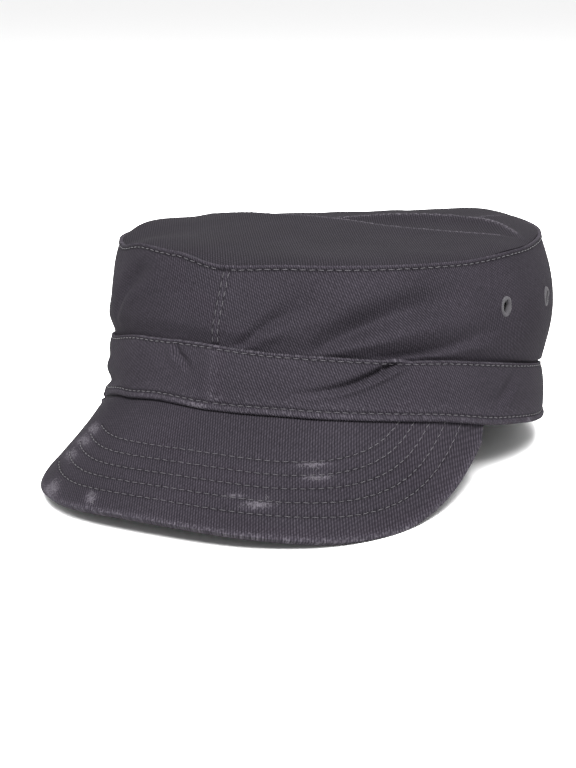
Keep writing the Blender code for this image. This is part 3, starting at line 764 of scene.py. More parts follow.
def cloth_grid(name, columns, rows):
    """Flat grid for a sheet of cloth, with each corner's shares of the way across and up."""
    deselect_all()
    bpy.ops.mesh.primitive_grid_add(x_subdivisions=columns, y_subdivisions=rows, size=1.0)
    piece = name_piece(name)
    flat = points_of(piece)
    return piece, flat[:, 0] + 0.5, flat[:, 1] + 0.5


def points_of(piece):
    """Places of a mesh's corners."""
    values = np.empty(3 * len(piece.data.vertices))
    piece.data.vertices.foreach_get("co", values)
    return values.reshape(-1, 3)


def place_points(piece, points):
    """Move a mesh's corners."""
    piece.data.vertices.foreach_set("co", np.ascontiguousarray(points, dtype=np.float32).ravel())
    piece.data.update()


def lay_out_weave(piece, across, up):
    """UV map in millimetres along the cloth, which the weave follows."""
    corners = np.empty(len(piece.data.loops), dtype=np.int32)
    piece.data.loops.foreach_get("vertex_index", corners)
    layer = piece.data.uv_layers.active or piece.data.uv_layers.new()
    layer.name = "weave"
    layer.uv.foreach_set("vector", (np.stack([across, up], axis=-1)[corners] / MM).ravel().astype(np.float32))


def mark_wear_and_painted_light(piece, amount):
    """Share of each corner's surface that is rubbed lighter, with painted highlights and painted light added,
    and painted shade where it is negative.
    """
    layer = piece.data.attributes.new("wear_and_painted_light", "FLOAT", "POINT")
    layer.data.foreach_set("value", np.clip(amount, -1.0, 1.0).astype(np.float32))


def finish_modifiers(piece):
    """Apply a piece's modifiers in order."""
    select_only(piece)
    for modifier in list(piece.modifiers):
        bpy.ops.object.modifier_apply(modifier=modifier.name)


def give_thickness(piece, thickness, rounding=CLOTH_ROUNDING):
    """Thicken a sheet inward from its outer face and round its cut or folded edges."""
    wall = piece.modifiers.new("Cloth thickness", "SOLIDIFY")
    wall.thickness = thickness
    wall.offset = -1.0
    edge = piece.modifiers.new("Folded edge", "BEVEL")
    edge.width = rounding
    edge.segments = EDGE_SEGMENTS
    edge.limit_method = "ANGLE"
    edge.angle_limit = math.radians(EDGE_ANGLE)
    finish_modifiers(piece)
    flat = points_of(piece)
    flat[:, 2] = np.maximum(flat[:, 2], 0.0)
    place_points(piece, flat)
    smooth(piece)


def smooth(piece, degrees=SHARP_ANGLE):
    """Shade a piece smooth but for its sharp edges."""
    select_only(piece)
    bpy.ops.object.shade_smooth_by_angle(angle=math.radians(degrees))


def finish_piece(piece, material, slot_name, *nodes):
    """Give a piece its material and its place in the model, and hide the solids that it stands for."""
    piece.data.materials.clear()
    piece.data.materials.append(material)
    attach(piece, "root")
    if nodes:
        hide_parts(*nodes)
    return piece


# Cloth pieces

def half_degrees(side, share):
    """Angles across one half of the cap, closer together beside the centre seams."""
    spread = np.interp(share if side > 0 else 1.0 - share, COLUMN_SHARES, COLUMN_ANGLES)
    return spread if side > 0 else -spread


def wall_levels(degrees, share):
    """Levels up the wall: coarse behind the band, fine above it and finest at the rim."""
    tall = wall_height(degrees)
    stops = ((BINDING_HEIGHT + SEAM_GAP) / tall, band_level(degrees), 1.0 - RIM_ROWS_HEIGHT / tall, 1.0)
    level = stops[0]
    for start, end, low, high in zip(WALL_ROW_SHARES, WALL_ROW_SHARES[1:], stops, stops[1:]):
        level = level + (high - low) * np.clip((share - start) / (end - start), 0.0, 1.0)
    return level


def wall_half(side_name, side, material):
    """Half of the twill side wall, with its two eyelet holes cut through."""
    piece, across, up = cloth_grid(f"twill_wall_{side_name}", *WALL_GRID)
    degrees = half_degrees(side, across)
    level = wall_levels(degrees, up)
    outer = wall_face(degrees, level)
    outer += outward(degrees) * rumple(outer, CLOTH_BUMPS)[:, None]
    place_points(piece, settle(outer))
    lay_out_weave(piece, np.radians(degrees) * MEAN_RADIUS, level * wall_height(degrees))
    to_rim = (1.0 - level) * wall_height(degrees)
    light = rubbed_by(RIM_RUB, to_rim) + rubbed_by(WALL_SEAM_RUB, from_seam(degrees))
    # Painted shade in the grooves of the rim row and the seam rows
    seam_painted_shade = SEAM_ROW_PAINTED_SHADE * groove_painted_shade(from_seam(degrees) - SEAM_STITCH_SPACING / 2)
    mark_wear_and_painted_light(piece, light - groove_painted_shade(to_rim - RIM_STITCH_DROP) - seam_painted_shade)
    give_thickness(piece, WALL_CLOTH)
    for angle in EYELET_ANGLES.values():
        cut_eyelet_hole(piece, side * angle)
    return finish_piece(piece, material, "twill", f"wall_{side_name}")


def band_half(side_name, side, material):
    """Half of the turned-up band, folded over at its upper edge."""
    piece, across, up = cloth_grid(f"twill_band_{side_name}", *BAND_GRID)
    degrees = half_degrees(side, across)
    tall = wall_height(degrees)
    lowest = BINDING_HEIGHT - BAND_OVERLAP
    height = band_level(degrees) * tall - SEAM_GAP - lowest
    level = (lowest + height * np.interp(up, BAND_ROW_SHARES, BAND_ROW_HEIGHTS)) / tall
    outer = band_face(degrees, level)
    outer += outward(degrees) * rumple(outer, BAND_BUMPS)[:, None]
    place_points(piece, settle(outer))
    lay_out_weave(piece, np.radians(degrees) * MEAN_RADIUS, level * tall)
    to_top = (band_level(degrees) - level) * tall
    to_hem = level * tall - BINDING_HEIGHT
    # The band is painted a little lighter all over, and lighter towards the hem as painted light where it
    # flares and faces up
    light = BAND_LIGHTER_ALL_OVER + BAND_HEM_PAINTED_LIGHT * (1.0 - ease(level * tall / BAND_HEM_PAINTED_LIGHT_HEIGHT))
    light += rubbed_by(BAND_TOP_RUB, to_top - SEAM_GAP) + rubbed_by(BAND_SEAM_RUB, from_seam(degrees))
    # Painted shade in the grooves of the band row and the hem row
    dark = groove_painted_shade(to_top - BAND_STITCH_DROP) + groove_painted_shade(to_hem - HEM_STITCH_RISE)
    mark_wear_and_painted_light(piece, light - dark)
    give_thickness(piece, BAND_CLOTH)
    return finish_piece(piece, material, "twill", f"band_{side_name}")


def top_panel(material):
    """Top panel, soft and a little creased, its edge tucked in behind the rim."""
    piece, across, along = cloth_grid("twill_top_panel", *PANEL_GRID)
    square_x = 2.0 * across - 1.0
    square_y = 2.0 * along - 1.0
    share_x = square_x * np.sqrt(1.0 - square_y ** 2 / 2)
    share_y = square_y * np.sqrt(1.0 - square_x ** 2 / 2)
    outer = panel_surface(share_x, share_y)
    outer[:, 2] += rumple(outer, CLOTH_BUMPS)
    place_points(piece, settle(outer))
    lay_out_weave(piece, outer[:, 0], outer[:, 1])
    # Painted highlight along the crests of the creases
    _, crest = crease_shape(share_x * RIM_WIDTH / 2, share_y * RIM_LENGTH / 2)
    mark_wear_and_painted_light(piece, CREST_PAINTED_HIGHLIGHT * crest)
    give_thickness(piece, PANEL_CLOTH)
    return finish_piece(piece, material, "twill", "crown_top")


def hem_binding(material):
    """Rolled hem that wraps the lower edges of wall and band."""
    columns, sides = BINDING_GRID
    deselect_all()
    bpy.ops.mesh.primitive_torus_add(major_segments=columns, minor_segments=sides, major_radius=1.0,
                                     minor_radius=0.25)
    piece = name_piece("rolled_hem")
    flat = points_of(piece)
    radius = np.hypot(flat[:, 0], flat[:, 1])
    degrees = np.degrees(np.arctan2(flat[:, 0], -flat[:, 1]))
    turn = np.arctan2(flat[:, 2], radius - 1.0)
    half_thickness = (WALL_CLOTH + BAND_CLOTH + SEAM_GAP) / 2 + BINDING_PROUD
    out = BINDING_PROUD - half_thickness + half_thickness * signed_power(np.cos(turn), BINDING_SQUARENESS_OUT)
    up = BINDING_HEIGHT / 2 * (1.0 + signed_power(np.sin(turn), BINDING_SQUARENESS_UP))
    points = hem(degrees) + outward(degrees) * out[:, None]
    points[:, 2] += up
    points += outward(degrees) * rumple(points, HEM_BUMPS)[:, None]
    points = settle(points)
    points[:, 2] = np.maximum(points[:, 2], 0.0)
    place_points(piece, points)
    lay_out_weave(piece, np.radians(degrees) * MEAN_RADIUS, up + out)
    mark_wear_and_painted_light(piece, HEM_RUB + sum(rubbed_by(rub, degrees - angle) for angle, rub in HEM_SPOTS.items()))
    smooth(piece, ALL_SMOOTH)
    return finish_piece(piece, material, "binding", "hem_binding")


def peak_row(inset, steps=PEAK_ROW_POINTS, margins=ROW_END_MARGINS):
    """Points along the peak's upper face, from its right end to its left, a distance in from its edge."""
    right_margin, left_margin = margins
    turn = np.linspace(right_margin, math.pi - left_margin, steps)
    return peak_surface(*peak_outline(turn, inset))


def distance_to_points(points, path):
    """Distance of each point to the nearest point of a path."""
    tree = kdtree.KDTree(len(path))
    for index, place in enumerate(path.tolist()):
        tree.insert(place, index)
    tree.balance()
    return np.array([tree.find(place)[2] for place in points.tolist()])


def peak_insets():
    """Distance in from the edge of each row of the peak's stitching."""
    return [PEAK_FIRST_ROW + PEAK_ROW_SPACING * row for row in range(PEAK_STITCH_ROWS)]


def worn(x, reach):
    """How much the peak's cloth is rubbed through at each place."""
    amount = np.zeros(x.shape)
    for patch in WORN_PATCHES:
        lean = math.radians(patch.lean)
        from_x = x / MM - patch.x
        from_reach = reach / MM - patch.reach
        across = (from_x * math.cos(lean) + from_reach * math.sin(lean)) / patch.half_width
        along = (from_reach * math.cos(lean) - from_x * math.sin(lean)) / patch.half_length
        amount = np.maximum(amount, np.exp(-(across ** 2 + along ** 2) ** WORN_EDGE_POWER))
    return amount


def peak(material):
    """Stiff peak: its root is tucked under the rolled hem, its edge is rolled and its rows pressed in."""
    piece, across, up = cloth_grid("twill_peak", *PEAK_GRID)
    share = 2.0 * across - 1.0
    edge_x, edge_reach = peak_edge(math.pi / 2 * (1.0 + share * OUTLINE_TURN))
    root = hem(PEAK_SPAN * share) - outward(PEAK_SPAN * share) * PEAK_TUCK
    root[:, 2] += SEAM_GAP
    start_reach = root_reach(root[:, 0])
    forward = np.interp(up, PEAK_ROW_SHARES, PEAK_ROW_FORWARD)
    x = root[:, 0] * (1.0 - forward) + edge_x * forward
    reach = start_reach * (1.0 - forward) + edge_reach * forward
    upper = peak_surface(x, reach)
    to_root = root - peak_surface(root[:, 0], start_reach)
    upper += to_root * ((1.0 - forward) ** ROOT_FADE_POWER)[:, None]
    to_edge = distance_to_points(upper, peak_row(0.0, PEAK_EDGE_POINTS, NO_MARGINS))
    to_row = distance_to_points(upper, np.concatenate([peak_row(inset) for inset in peak_insets()]))
    lift = PEAK_ROLL * hump(to_edge - PEAK_ROLL_INSET, PEAK_ROLL_WIDTH / 2) - stitch_pressure(to_row)
    upper[:, 2] += lift + rumple(upper, PEAK_BUMPS)
    place_points(piece, settle(upper))
    lay_out_weave(piece, x, reach)
    # The rolled edge is rubbed lighter and painted lighter still as a highlight
    light = worn(x, reach) + rubbed_by(PEAK_EDGE_RUB_AND_HIGHLIGHT, to_edge)
    # Painted shade in the grooves of the peak's rows
    mark_wear_and_painted_light(piece, light - PEAK_ROW_PAINTED_SHADE * groove_painted_shade(to_row))
    give_thickness(piece, PEAK_THICKNESS, PEAK_EDGE_ROUNDING)
    return finish_piece(piece, material, "twill", "peak")


# Eyelets

def eyelet_place(degrees):
    """Middle of the wall cloth at an eyelet, and the directions out of the cap and along the wall."""
    angle = np.array([float(degrees)])
    outwards = outward(angle)[0]
    middle = wall_face(angle, np.array([EYELET_LEVEL]))[0] - outwards * WALL_CLOTH / 2
    return middle, outwards, np.array([-outwards[1], outwards[0], 0.0])


def cut_eyelet_hole(wall, degrees):
    """Cut an oval hole through the wall."""
    middle, outwards, sideways = eyelet_place(degrees)
    deselect_all()
    bpy.ops.mesh.primitive_cylinder_add(vertices=EYELET_PLUG_SIDES, radius=1.0, depth=1.0)
    plug = name_piece("eyelet_plug")
    flat = points_of(plug)
    width = (EYELET_HOLE_WIDTH + EYELET_WIDTH) / 4
    height = (EYELET_HOLE_HEIGHT + EYELET_HEIGHT) / 4
    points = middle + flat[:, :1] * width * sideways + flat[:, 2:] * EYELET_PLUG_LENGTH * outwards
    points[:, 2] += flat[:, 1] * height
    place_points(plug, settle(points))
    hole = wall.modifiers.new("Eyelet hole", "BOOLEAN")
    hole.operation = "DIFFERENCE"
    hole.solver = "EXACT"
    hole.object = plug
    finish_modifiers(wall)
    bpy.data.objects.remove(plug, do_unlink=True)


def eyelet(side_name, end_name, degrees, material):
    """Eyelet worked in close satin stitch: each thread runs over the ring from the hole outward."""
    deselect_all()
    bpy.ops.mesh.primitive_torus_add(major_segments=EYELET_COLUMNS, minor_segments=EYELET_SIDES,
                                     major_radius=1.0, minor_radius=0.5)
    piece = name_piece(f"satin_eyelet_{side_name}_{end_name}")
    flat = points_of(piece)
    middle, outwards, sideways = eyelet_place(degrees)
    round_turn = np.arctan2(flat[:, 1], flat[:, 0])
    radius = np.hypot(flat[:, 0], flat[:, 1])
    over_turn = np.arctan2(flat[:, 2], radius - 1.0)
    relief = EYELET_THREAD_RELIEF * np.cos(EYELET_THREADS * round_turn)
    thread = 1.0 + relief + EYELET_UNEVENNESS * np.sin(EYELET_BULGES * round_turn + degrees)
    share = 0.5 + 0.5 * np.cos(over_turn) * thread
    width = EYELET_HOLE_WIDTH + (EYELET_WIDTH - EYELET_HOLE_WIDTH) * share
    height = EYELET_HOLE_HEIGHT + (EYELET_HEIGHT - EYELET_HOLE_HEIGHT) * share
    out = (WALL_CLOTH / 2 + EYELET_PROUD) * np.sin(over_turn) * thread
    points = middle + (width / 2 * np.cos(round_turn))[:, None] * sideways + out[:, None] * outwards
    points[:, 2] += height / 2 * np.sin(round_turn)
    place_points(piece, settle(points))
    turn_outward(piece)
    smooth(piece, ALL_SMOOTH)
    return finish_piece(piece, material, "embroidery", f"eyelet_{side_name}_{end_name}")


def turn_outward(piece):
    """Point every face of a closed piece outward."""
    select_only(piece)
    bpy.ops.object.mode_set(mode="EDIT")
    bpy.ops.mesh.select_all(action="SELECT")
    bpy.ops.mesh.normals_make_consistent(inside=False)
    bpy.ops.object.mode_set(mode="OBJECT")


# Thread and loose fibres

def lay_copies(name, shape, places, axes):
    """One mesh of many copies of a small shape, each at its place with its own three axes."""
    points = points_of(shape)
    faces = [tuple(face.vertices) for face in shape.data.polygons]
    copies = np.einsum("pk,nkj->npj", points, axes) + places[:, None, :]
    all_faces = [tuple(index + copy * len(points) for index in face)
                 for copy in range(len(places)) for face in faces]
    mesh = bpy.data.meshes.new(name)
    mesh.from_pydata(copies.reshape(-1, 3).tolist(), [], all_faces)
    piece = bpy.data.objects.new(name, mesh)
    bpy.context.scene.collection.objects.link(piece)
    return piece


def thread_stitch():
    """One stitch: a short round thread, pointed where it enters the cloth."""
    deselect_all()
    bpy.ops.mesh.primitive_uv_sphere_add(segments=STITCH_SIDES, ring_count=STITCH_SIDES, radius=1.0,
                                         rotation=(0.0, math.pi / 2, 0.0))
    bpy.ops.object.transform_apply(location=False, rotation=True, scale=False)
    stitch = name_piece("stitch_shape")
    flat = points_of(stitch)
    flat[:, 0] *= STITCH_LENGTH / 2
    flat[:, 1:] *= THREAD_WIDTH / 2
    place_points(stitch, flat)
    return stitch


def on_cloth(pieces, points):
    """Nearest places on the pieces' surfaces, and the directions out of the cloth there."""
    places = []
    outs = []
    for point in points.tolist():
        hits = [piece.closest_point_on_mesh(point) for piece in pieces]
        _, place, out, _ = min(hits, key=lambda hit: (hit[1] - Vector(point)).length)
        places.append(place[:])
        outs.append(out[:])
    return np.array(places), np.array(outs)


def plumb_on_cloth(piece, points, way):
    """Where a plumb line at each point meets the piece, going down (-1) or up (1).

    Gives the places, the directions out of the cloth there, and which of the points have one.
    """
    places = []
    outs = []
    met = []
    for x, y, z in points.tolist():
        found, place, out, _ = piece.ray_cast((x, y, z - way * PLUMB_START), (0.0, 0.0, way))
        met.append(found)
        if found:
            places.append(place[:])
            outs.append(out[:])
    return np.array(places), np.array(outs), np.array(met)


def along_path(path, pieces, way):
    """Places at even steps along a path on the cloth, with directions along it, across it and outward.

    With a way, down (-1) or up (1), they lie plumb with the path, and steps off the cloth are left out.
    """
    steps = np.linalg.norm(np.diff(path, axis=0), axis=1)
    length = np.concatenate([[0.0], np.cumsum(steps)])
    count = int(length[-1] / STITCH_PITCH)
    at = (np.arange(count) + 0.5) * length[-1] / count
    middle = np.stack([np.interp(at, length, path[:, axis]) for axis in range(3)], axis=-1)
    tangents = np.gradient(path, length, axis=0)
    forward = np.stack([np.interp(at, length, tangents[:, axis]) for axis in range(3)], axis=-1)
    if way:
        places, out, met = plumb_on_cloth(pieces[0], middle, way)
        forward = forward[met]
    else:
        places, out = on_cloth(pieces, middle)
    side = unit(np.cross(out, forward))
    return places, np.cross(side, out), side, out


def stitch_rows(name, rows, pieces, material, way=0):
    """Piece of all the stitches along some rows, each row a path on the cloth of the given pieces."""
    shape = thread_stitch()
    places = []
    axes = []
    for path in rows:
        at, forward, side, out = along_path(settle(path), pieces, way)
        wander = STITCH_WANDER * np.sin(np.arange(len(at)) * STITCH_WANDER_STEP)
        forward = unit(forward + side * wander[:, None])
        places.append(at + out * STITCH_LIFT)
        axes.append(np.stack([forward, np.cross(out, forward), out], axis=1))
    piece = lay_copies(name, shape, np.concatenate(places), np.concatenate(axes))
    bpy.data.objects.remove(shape, do_unlink=True)
    smooth(piece, ALL_SMOOTH)
    return finish_piece(piece, material, "twill")


def seam_row(offset, low, high, seam_degrees):
    """Path up a centre seam, a distance to one side of it."""
    level = np.linspace(low, high, SEAM_ROW_POINTS)
    return wall_face(np.full(level.shape, seam_degrees + math.degrees(offset / MEAN_RADIUS)), level)


def all_stitches(walls, bands, peak_piece, thread):
    """Every visible row of topstitching."""
    once_round = np.linspace(*ROUND_ROW_ANGLES, ROUND_ROW_POINTS)
    tall = wall_height(once_round)
    rim_row = wall_face(once_round, 1.0 - RIM_STITCH_DROP / tall)
    stitch_rows("topstitch_rim", [rim_row], walls, thread)
    band_row = band_face(once_round, band_level(once_round) - BAND_STITCH_DROP / tall)
    stitch_rows("topstitch_band", [band_row], bands, thread)
    hem_row = band_face(once_round, (BINDING_HEIGHT + HEM_STITCH_RISE) / tall)
    stitch_rows("topstitch_hem", [hem_row], bands, thread)
    seams = []
    for seam_degrees, high in SEAM_ROW_TOPS.items():
        low = float(band_level(np.array([seam_degrees]))[0]) + SEAM_ROW_START
        seams += [seam_row(side * SEAM_STITCH_SPACING / 2, low, high, seam_degrees) for side in (-1, 1)]
    stitch_rows("topstitch_seams", seams, walls, thread)
    peak_rows = [peak_row(inset) for inset in peak_insets()]
    stitch_rows("topstitch_peak", peak_rows, [peak_piece], thread, -1)
    under_rows = [row - np.array([0.0, 0.0, UNDERSIDE_DROP]) for row in peak_rows]
    stitch_rows("topstitch_peak_underside", under_rows, [peak_piece], thread, 1)


def fibre_shape():
    """One loose cotton fibre: a thin tapered hair, bent upward in the middle."""
    deselect_all()
    bpy.ops.mesh.primitive_cone_add(vertices=3, radius1=FIBRE_ROOT, radius2=FIBRE_TIP, depth=2.0,
                                    rotation=(0.0, math.pi / 2, 0.0))
    bpy.ops.object.transform_apply(location=False, rotation=True, scale=False)
    hair = name_piece("fibre_shape")
    bpy.ops.object.mode_set(mode="EDIT")
    for cut in FIBRE_CUTS:
        bpy.ops.mesh.select_all(action="SELECT")
        bpy.ops.mesh.bisect(plane_co=(cut, 0.0, 0.0), plane_no=(1.0, 0.0, 0.0))
    bpy.ops.object.mode_set(mode="OBJECT")
    flat = points_of(hair)
    flat[:, 2] += FIBRE_ARCH * (1.0 - flat[:, 0] ** 2)
    place_points(hair, flat)
    return hair


def worn_fibres(peak_piece, material):
    """Loose fibres that stand up where the peak's cloth is rubbed through."""
    chance = np.random.default_rng(FIBRE_SEED)
    shape = fibre_shape()
    places = []
    axes = []
    for patch in WORN_PATCHES:
        lean = math.radians(patch.lean)
        across = patch.half_width * FIBRE_SCATTER * chance.normal(size=patch.fibres)
        along = patch.half_length * FIBRE_SCATTER * chance.normal(size=patch.fibres)
        x = (patch.x + across * math.cos(lean) - along * math.sin(lean)) * MM
        reach = (patch.reach + across * math.sin(lean) + along * math.cos(lean)) * MM
        here, out = on_cloth([peak_piece], settle(peak_surface(x, reach)))
        right = unit(np.cross(np.array([0.0, 1.0, 0.0]), out))
        back = np.cross(out, right)
        heading = chance.uniform(0.0, math.pi, patch.fibres)[:, None]
        forward = unit(right * np.cos(heading) + back * np.sin(heading))
        length = chance.uniform(*FIBRE_LENGTHS, patch.fibres)[:, None] * MM
        sideways = np.cross(out, forward)
        places.append(here)
        axes.append(np.stack([forward * length, sideways * FIBRE_THICKNESS, out * FIBRE_THICKNESS], axis=1))
    piece = lay_copies("worn_fibres", shape, np.concatenate(places), np.concatenate(axes))
    bpy.data.objects.remove(shape, do_unlink=True)
    return finish_piece(piece, material, "twill")


# Materials

def linear(hex_colour):
    """Linear colour of an sRGB hex value."""
    shares = [int(hex_colour[at:at + 2], 16) / 255.0 for at in (1, 3, 5)]
    return tuple(s / 12.92 if s <= 0.04045 else ((s + 0.055) / 1.055) ** 2.4 for s in shares) + (1.0,)


def add_node(tree, kind, settings=None, links=None):
    """Add a shader node, set its values and link its inputs."""
    node = tree.nodes.new(kind)
    for name, value in (settings or {}).items():
        if isinstance(name, str) and hasattr(node, name):
            setattr(node, name, value)
        else:
            node.inputs[name].default_value = value
    for name, source in (links or {}).items():
        tree.links.new(source, node.inputs[name])
    return node


def new_material(name):
    """Empty material with its node tree, shader and output."""
    material = bpy.data.materials.new(name)
    material.use_nodes = True
    tree = material.node_tree
    return material, tree, tree.nodes["Principled BSDF"]


def washed_twill(name, lean, shade):
    """Garment-washed cotton twill, woven in close ridges that lean, dyed anthracite and rubbed lighter.

    Dull and soft: almost no gloss, pale yarn where it is rubbed, painted highlights on crests and edges, and
    painted shade along its rows of stitches.
    """
    # Real twill ridges are about 0.5 mm apart, which is too fine to show here, so they are drawn coarser
    ridge_pitch_mm = 0.93
    pick_pitch_mm = 1.15
    yarn_width_mm = 0.5
    yarn_length_mm = 2.0
    speck_mm = 1.0
    material, tree, surface = new_material(name)
    weave = add_node(tree, "ShaderNodeUVMap", {"uv_map": "weave"}).outputs["UV"]
    turned = add_node(tree, "ShaderNodeMapping", {"Rotation": (0.0, 0.0, math.radians(lean))},
                      {"Vector": weave}).outputs["Vector"]
    # A wave's bands are 0.314 apart at scale 1, and 0.444 apart where they run diagonally
    lines = add_node(tree, "ShaderNodeTexWave",
                     {"wave_type": "BANDS", "bands_direction": "X", "Scale": 0.3142 / ridge_pitch_mm,
                      "Distortion": 1.2, "Detail": 2.0, "Detail Scale": 1.8},
                     {"Vector": turned}).outputs["Fac"]
    # Each ridge is a row of short floats, parted where a weft yarn crosses it
    picks = add_node(tree, "ShaderNodeTexWave",
                     {"wave_type": "BANDS", "bands_direction": "DIAGONAL", "Scale": 0.4443 / pick_pitch_mm,
                      "Distortion": 2.5, "Detail": 2.0, "Detail Scale": 2.0},
                     {"Vector": turned}).outputs["Fac"]
    parted = add_node(tree, "ShaderNodeMapRange",
                      {"From Min": 0.0, "From Max": 1.0, "To Min": 0.45, "To Max": 1.0},
                      {"Value": picks}).outputs["Result"]
    ridges = add_node(tree, "ShaderNodeMath", {"operation": "MULTIPLY"}, {0: lines, 1: parted}).outputs[0]
    # Single yarns: streaks that follow the ridges
    stretched = add_node(tree, "ShaderNodeMapping",
                         {"Scale": (1.0 / yarn_width_mm, 1.0 / yarn_length_mm, 1.0)},
                         {"Vector": turned}).outputs["Vector"]
    yarns = add_node(tree, "ShaderNodeTexNoise", {"Scale": 1.0, "Detail": 2.0},
                     {"Vector": stretched}).outputs["Fac"]
    # Specks of undyed cotton
    specks = add_node(tree, "ShaderNodeTexNoise", {"Scale": 1.0 / speck_mm, "Detail": 3.0, "Roughness": 0.7},
                      {"Vector": weave}).outputs["Fac"]
    # Uneven washing, in clouds of about 30 mm
    wash = add_node(tree, "ShaderNodeTexNoise", {"Scale": 0.034, "Detail": 3.0},
                    {"Vector": weave}).outputs["Fac"]
    wear_and_painted_light = add_node(tree, "ShaderNodeAttribute", {"attribute_name": "wear_and_painted_light"}).outputs["Fac"]

    # Dyed cloth: dark between the ridges, its tone varied by yarn, by washing, by wear, and by painted
    # highlights and painted shade
    dyed = add_node(tree, "ShaderNodeMix", {"data_type": "RGBA", 6: linear("#161418"), 7: linear("#2c292e")},
                    {0: ridges}).outputs[2]
    yarn_tone = add_node(tree, "ShaderNodeMapRange",
                         {"From Min": 0.3, "From Max": 0.7, "To Min": 0.78, "To Max": 1.22},
                         {"Value": yarns}).outputs["Result"]
    # A piece's shade scales its cloth's tone; the top panel's low one is painted shade
    wash_tone = add_node(tree, "ShaderNodeMapRange",
                         {"From Min": 0.3, "From Max": 0.7, "To Min": 0.91 * shade, "To Max": 1.09 * shade},
                         {"Value": wash}).outputs["Result"]
    wear_and_light_tone = add_node(tree, "ShaderNodeMapRange",
                         {"From Min": -1.0, "From Max": 0.5, "To Min": 0.42, "To Max": 1.29},
                         {"Value": wear_and_painted_light}).outputs["Result"]
    uneven = add_node(tree, "ShaderNodeMath", {"operation": "MULTIPLY"},
                      {0: yarn_tone, 1: wash_tone}).outputs[0]
    tone = add_node(tree, "ShaderNodeMath", {"operation": "MULTIPLY"}, {0: uneven, 1: wear_and_light_tone}).outputs[0]
    woven = add_node(tree, "ShaderNodeVectorMath", {"operation": "SCALE"},
                     {0: dyed, "Scale": tone}).outputs[0]

    # Undyed cotton shows in specks and yarns where the cloth is rubbed through
    speckled = add_node(tree, "ShaderNodeMath", {"operation": "MULTIPLY_ADD", 1: 2.4},
                        {0: specks, 2: wear_and_painted_light}).outputs[0]
    frayed = add_node(tree, "ShaderNodeMath", {"operation": "MULTIPLY_ADD", 1: 1.2},
                      {0: yarns, 2: speckled}).outputs[0]
    bare = add_node(tree, "ShaderNodeMapRange",
                    {"From Min": 2.40, "From Max": 2.95, "To Min": 0.0, "To Max": 0.72},
                    {"Value": frayed}).outputs["Result"]
    colour = add_node(tree, "ShaderNodeMix", {"data_type": "RGBA", 7: linear("#474449")},
                      {0: bare, 6: woven}).outputs[2]
    tree.links.new(colour, surface.inputs["Base Color"])

    relief = add_node(tree, "ShaderNodeMath", {"operation": "MULTIPLY_ADD", 1: 0.6},
                      {0: yarns, 2: ridges}).outputs[0]
    fuzz = add_node(tree, "ShaderNodeMath", {"operation": "MULTIPLY_ADD", 1: 0.8},
                    {0: specks, 2: relief}).outputs[0]
    bump = add_node(tree, "ShaderNodeBump", {"Strength": 0.8, "Distance": 0.10 * MM},
                    {"Height": fuzz}).outputs[0]
    tree.links.new(bump, surface.inputs["Normal"])
    rough = add_node(tree, "ShaderNodeMapRange",
                     {"From Min": 0.2, "From Max": 0.8, "To Min": 0.88, "To Max": 1.0},
                     {"Value": yarns}).outputs["Result"]
    tree.links.new(rough, surface.inputs["Roughness"])
    surface.inputs["Specular IOR Level"].default_value = 0.03
    return material


def cotton_thread(name, dark, light, strand_mm):
    """Spun cotton: fine strands twisted together, matt, with a faint sheen from their fuzz."""
    material, tree, surface = new_material(name)
    place = add_node(tree, "ShaderNodeTexCoord").outputs["Object"]
    strands = add_node(tree, "ShaderNodeTexNoise", {"Scale": 1.0 / (strand_mm * MM), "Detail": 2.0},
                       {"Vector": place}).outputs["Fac"]
    colour = add_node(tree, "ShaderNodeMix", {"data_type": "RGBA", 6: linear(dark), 7: linear(light)},
                      {0: strands}).outputs[2]
    tree.links.new(colour, surface.inputs["Base Color"])
    bump = add_node(tree, "ShaderNodeBump", {"Strength": 0.5, "Distance": 0.05 * MM},
                    {"Height": strands}).outputs[0]
    tree.links.new(bump, surface.inputs["Normal"])
    surface.inputs["Roughness"].default_value = 0.85
    surface.inputs["Sheen Weight"].default_value = 0.1
    return material


def paper_white(name):
    """Matt white background paper."""
    material, tree, surface = new_material(name)
    place = add_node(tree, "ShaderNodeTexCoord").outputs["Object"]
    grain = add_node(tree, "ShaderNodeTexNoise", {"Scale": 40.0}, {"Vector": place}).outputs["Fac"]
    colour = add_node(tree, "ShaderNodeMix",
                      {"data_type": "RGBA", 6: linear("#f3f3f3"), 7: linear("#f6f6f6")},
                      {0: grain}).outputs[2]
    tree.links.new(colour, surface.inputs["Base Color"])
    surface.inputs["Roughness"].default_value = 0.9
    surface.inputs["Specular IOR Level"].default_value = 0.1
    return material


# Studio

def studio():
    """White floor, a soft main light in front, a weaker one behind, and pale surroundings."""
    deselect_all()
    bpy.ops.mesh.primitive_circle_add(vertices=FLOOR_SIDES, radius=FLOOR_RADIUS, fill_type="NGON")
    floor = name_piece("studio_floor")
    floor.data.materials.append(paper_white("background_paper"))
    world = bpy.data.worlds.new("pale_studio")
    world.use_nodes = True
    world.node_tree.nodes["Background"].inputs["Color"].default_value = linear(SURROUNDINGS)
    world.node_tree.nodes["Background"].inputs["Strength"].default_value = SURROUNDINGS_STRENGTH
    bpy.context.scene.world = world
    for lamp in LAMPS:
        softbox(lamp)


def softbox(lamp):
    """Square soft light that points at the cap."""
    heading = Vector(lamp.place) - Vector(CAMERA_TARGET)
    turn = heading.to_track_quat("Z", "Y").to_euler()
    bpy.ops.object.light_add(type="AREA", location=lamp.place, rotation=turn)
    light = bpy.context.object
    light.name = lamp.name
    light.data.size = lamp.size
    light.data.energy = lamp.watts


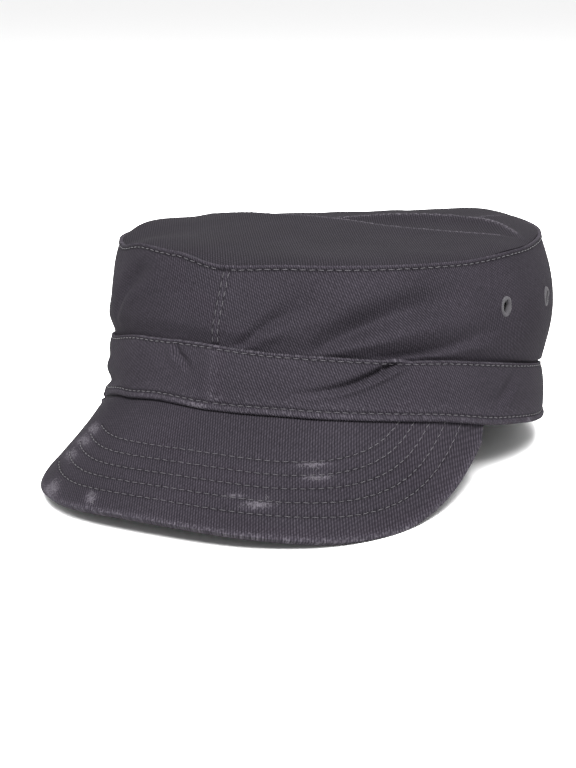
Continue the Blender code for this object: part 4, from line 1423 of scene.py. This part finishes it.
def camera():
    """Camera at the photograph's angle and distance."""
    azimuth = math.radians(CAMERA_AZIMUTH)
    elevation = math.radians(CAMERA_ELEVATION)
    back = Vector((math.sin(azimuth) * math.cos(elevation), -math.cos(azimuth) * math.cos(elevation),
                   math.sin(elevation)))
    bpy.ops.object.camera_add(location=Vector(CAMERA_TARGET) + back * CAMERA_DISTANCE,
                              rotation=back.to_track_quat("Z", "Y").to_euler())
    lens = bpy.context.object.data
    lens.sensor_width = SENSOR_WIDTH
    lens.lens = FOCAL_PIXELS * SENSOR_WIDTH / IMAGE_HEIGHT
    lens.shift_x = (IMAGE_WIDTH / 2 - TARGET_PIXEL[0]) / IMAGE_HEIGHT
    lens.shift_y = (TARGET_PIXEL[1] - IMAGE_HEIGHT / 2) / IMAGE_HEIGHT
    lens.clip_start = CLIP_START
    bpy.context.scene.camera = bpy.context.object


def build_cap():
    """Dress every solid of the cap."""
    side_cloth = washed_twill("washed_cotton_twill_on_the_slant", SIDE_LEAN, SIDE_SHADE)
    peak_cloth = washed_twill("washed_cotton_twill_of_the_peak", PEAK_LEAN, PEAK_SHADE)
    # The top panel's cloth is painted darker, as painted shade
    panel_cloth = washed_twill("washed_cotton_twill_of_the_top_painted_darker", PANEL_LEAN, PANEL_PAINTED_SHADE)
    thread = cotton_thread("spun_cotton_thread", "#1f1d21", "#312e33", strand_mm=0.5)
    satin_thread = cotton_thread("satin_stitch_cotton", "#1b191d", "#29272b", strand_mm=0.4)
    fibre = cotton_thread("loose_cotton_fibre", "#2d2b2f", "#403d42", strand_mm=0.4)
    walls = []
    bands = []
    for side_name, side in (("left", 1), ("right", -1)):
        walls.append(wall_half(side_name, side, side_cloth))
        bands.append(band_half(side_name, side, side_cloth))
        for end_name, angle in EYELET_ANGLES.items():
            eyelet(side_name, end_name, side * angle, satin_thread)
    top_panel(panel_cloth)
    hem_binding(side_cloth)
    peak_piece = peak(peak_cloth)
    all_stitches(walls, bands, peak_piece, thread)
    worn_fibres(peak_piece, fibre)


bpy.context.scene.view_settings.view_transform = "Standard"
build_cap()
studio()
camera()
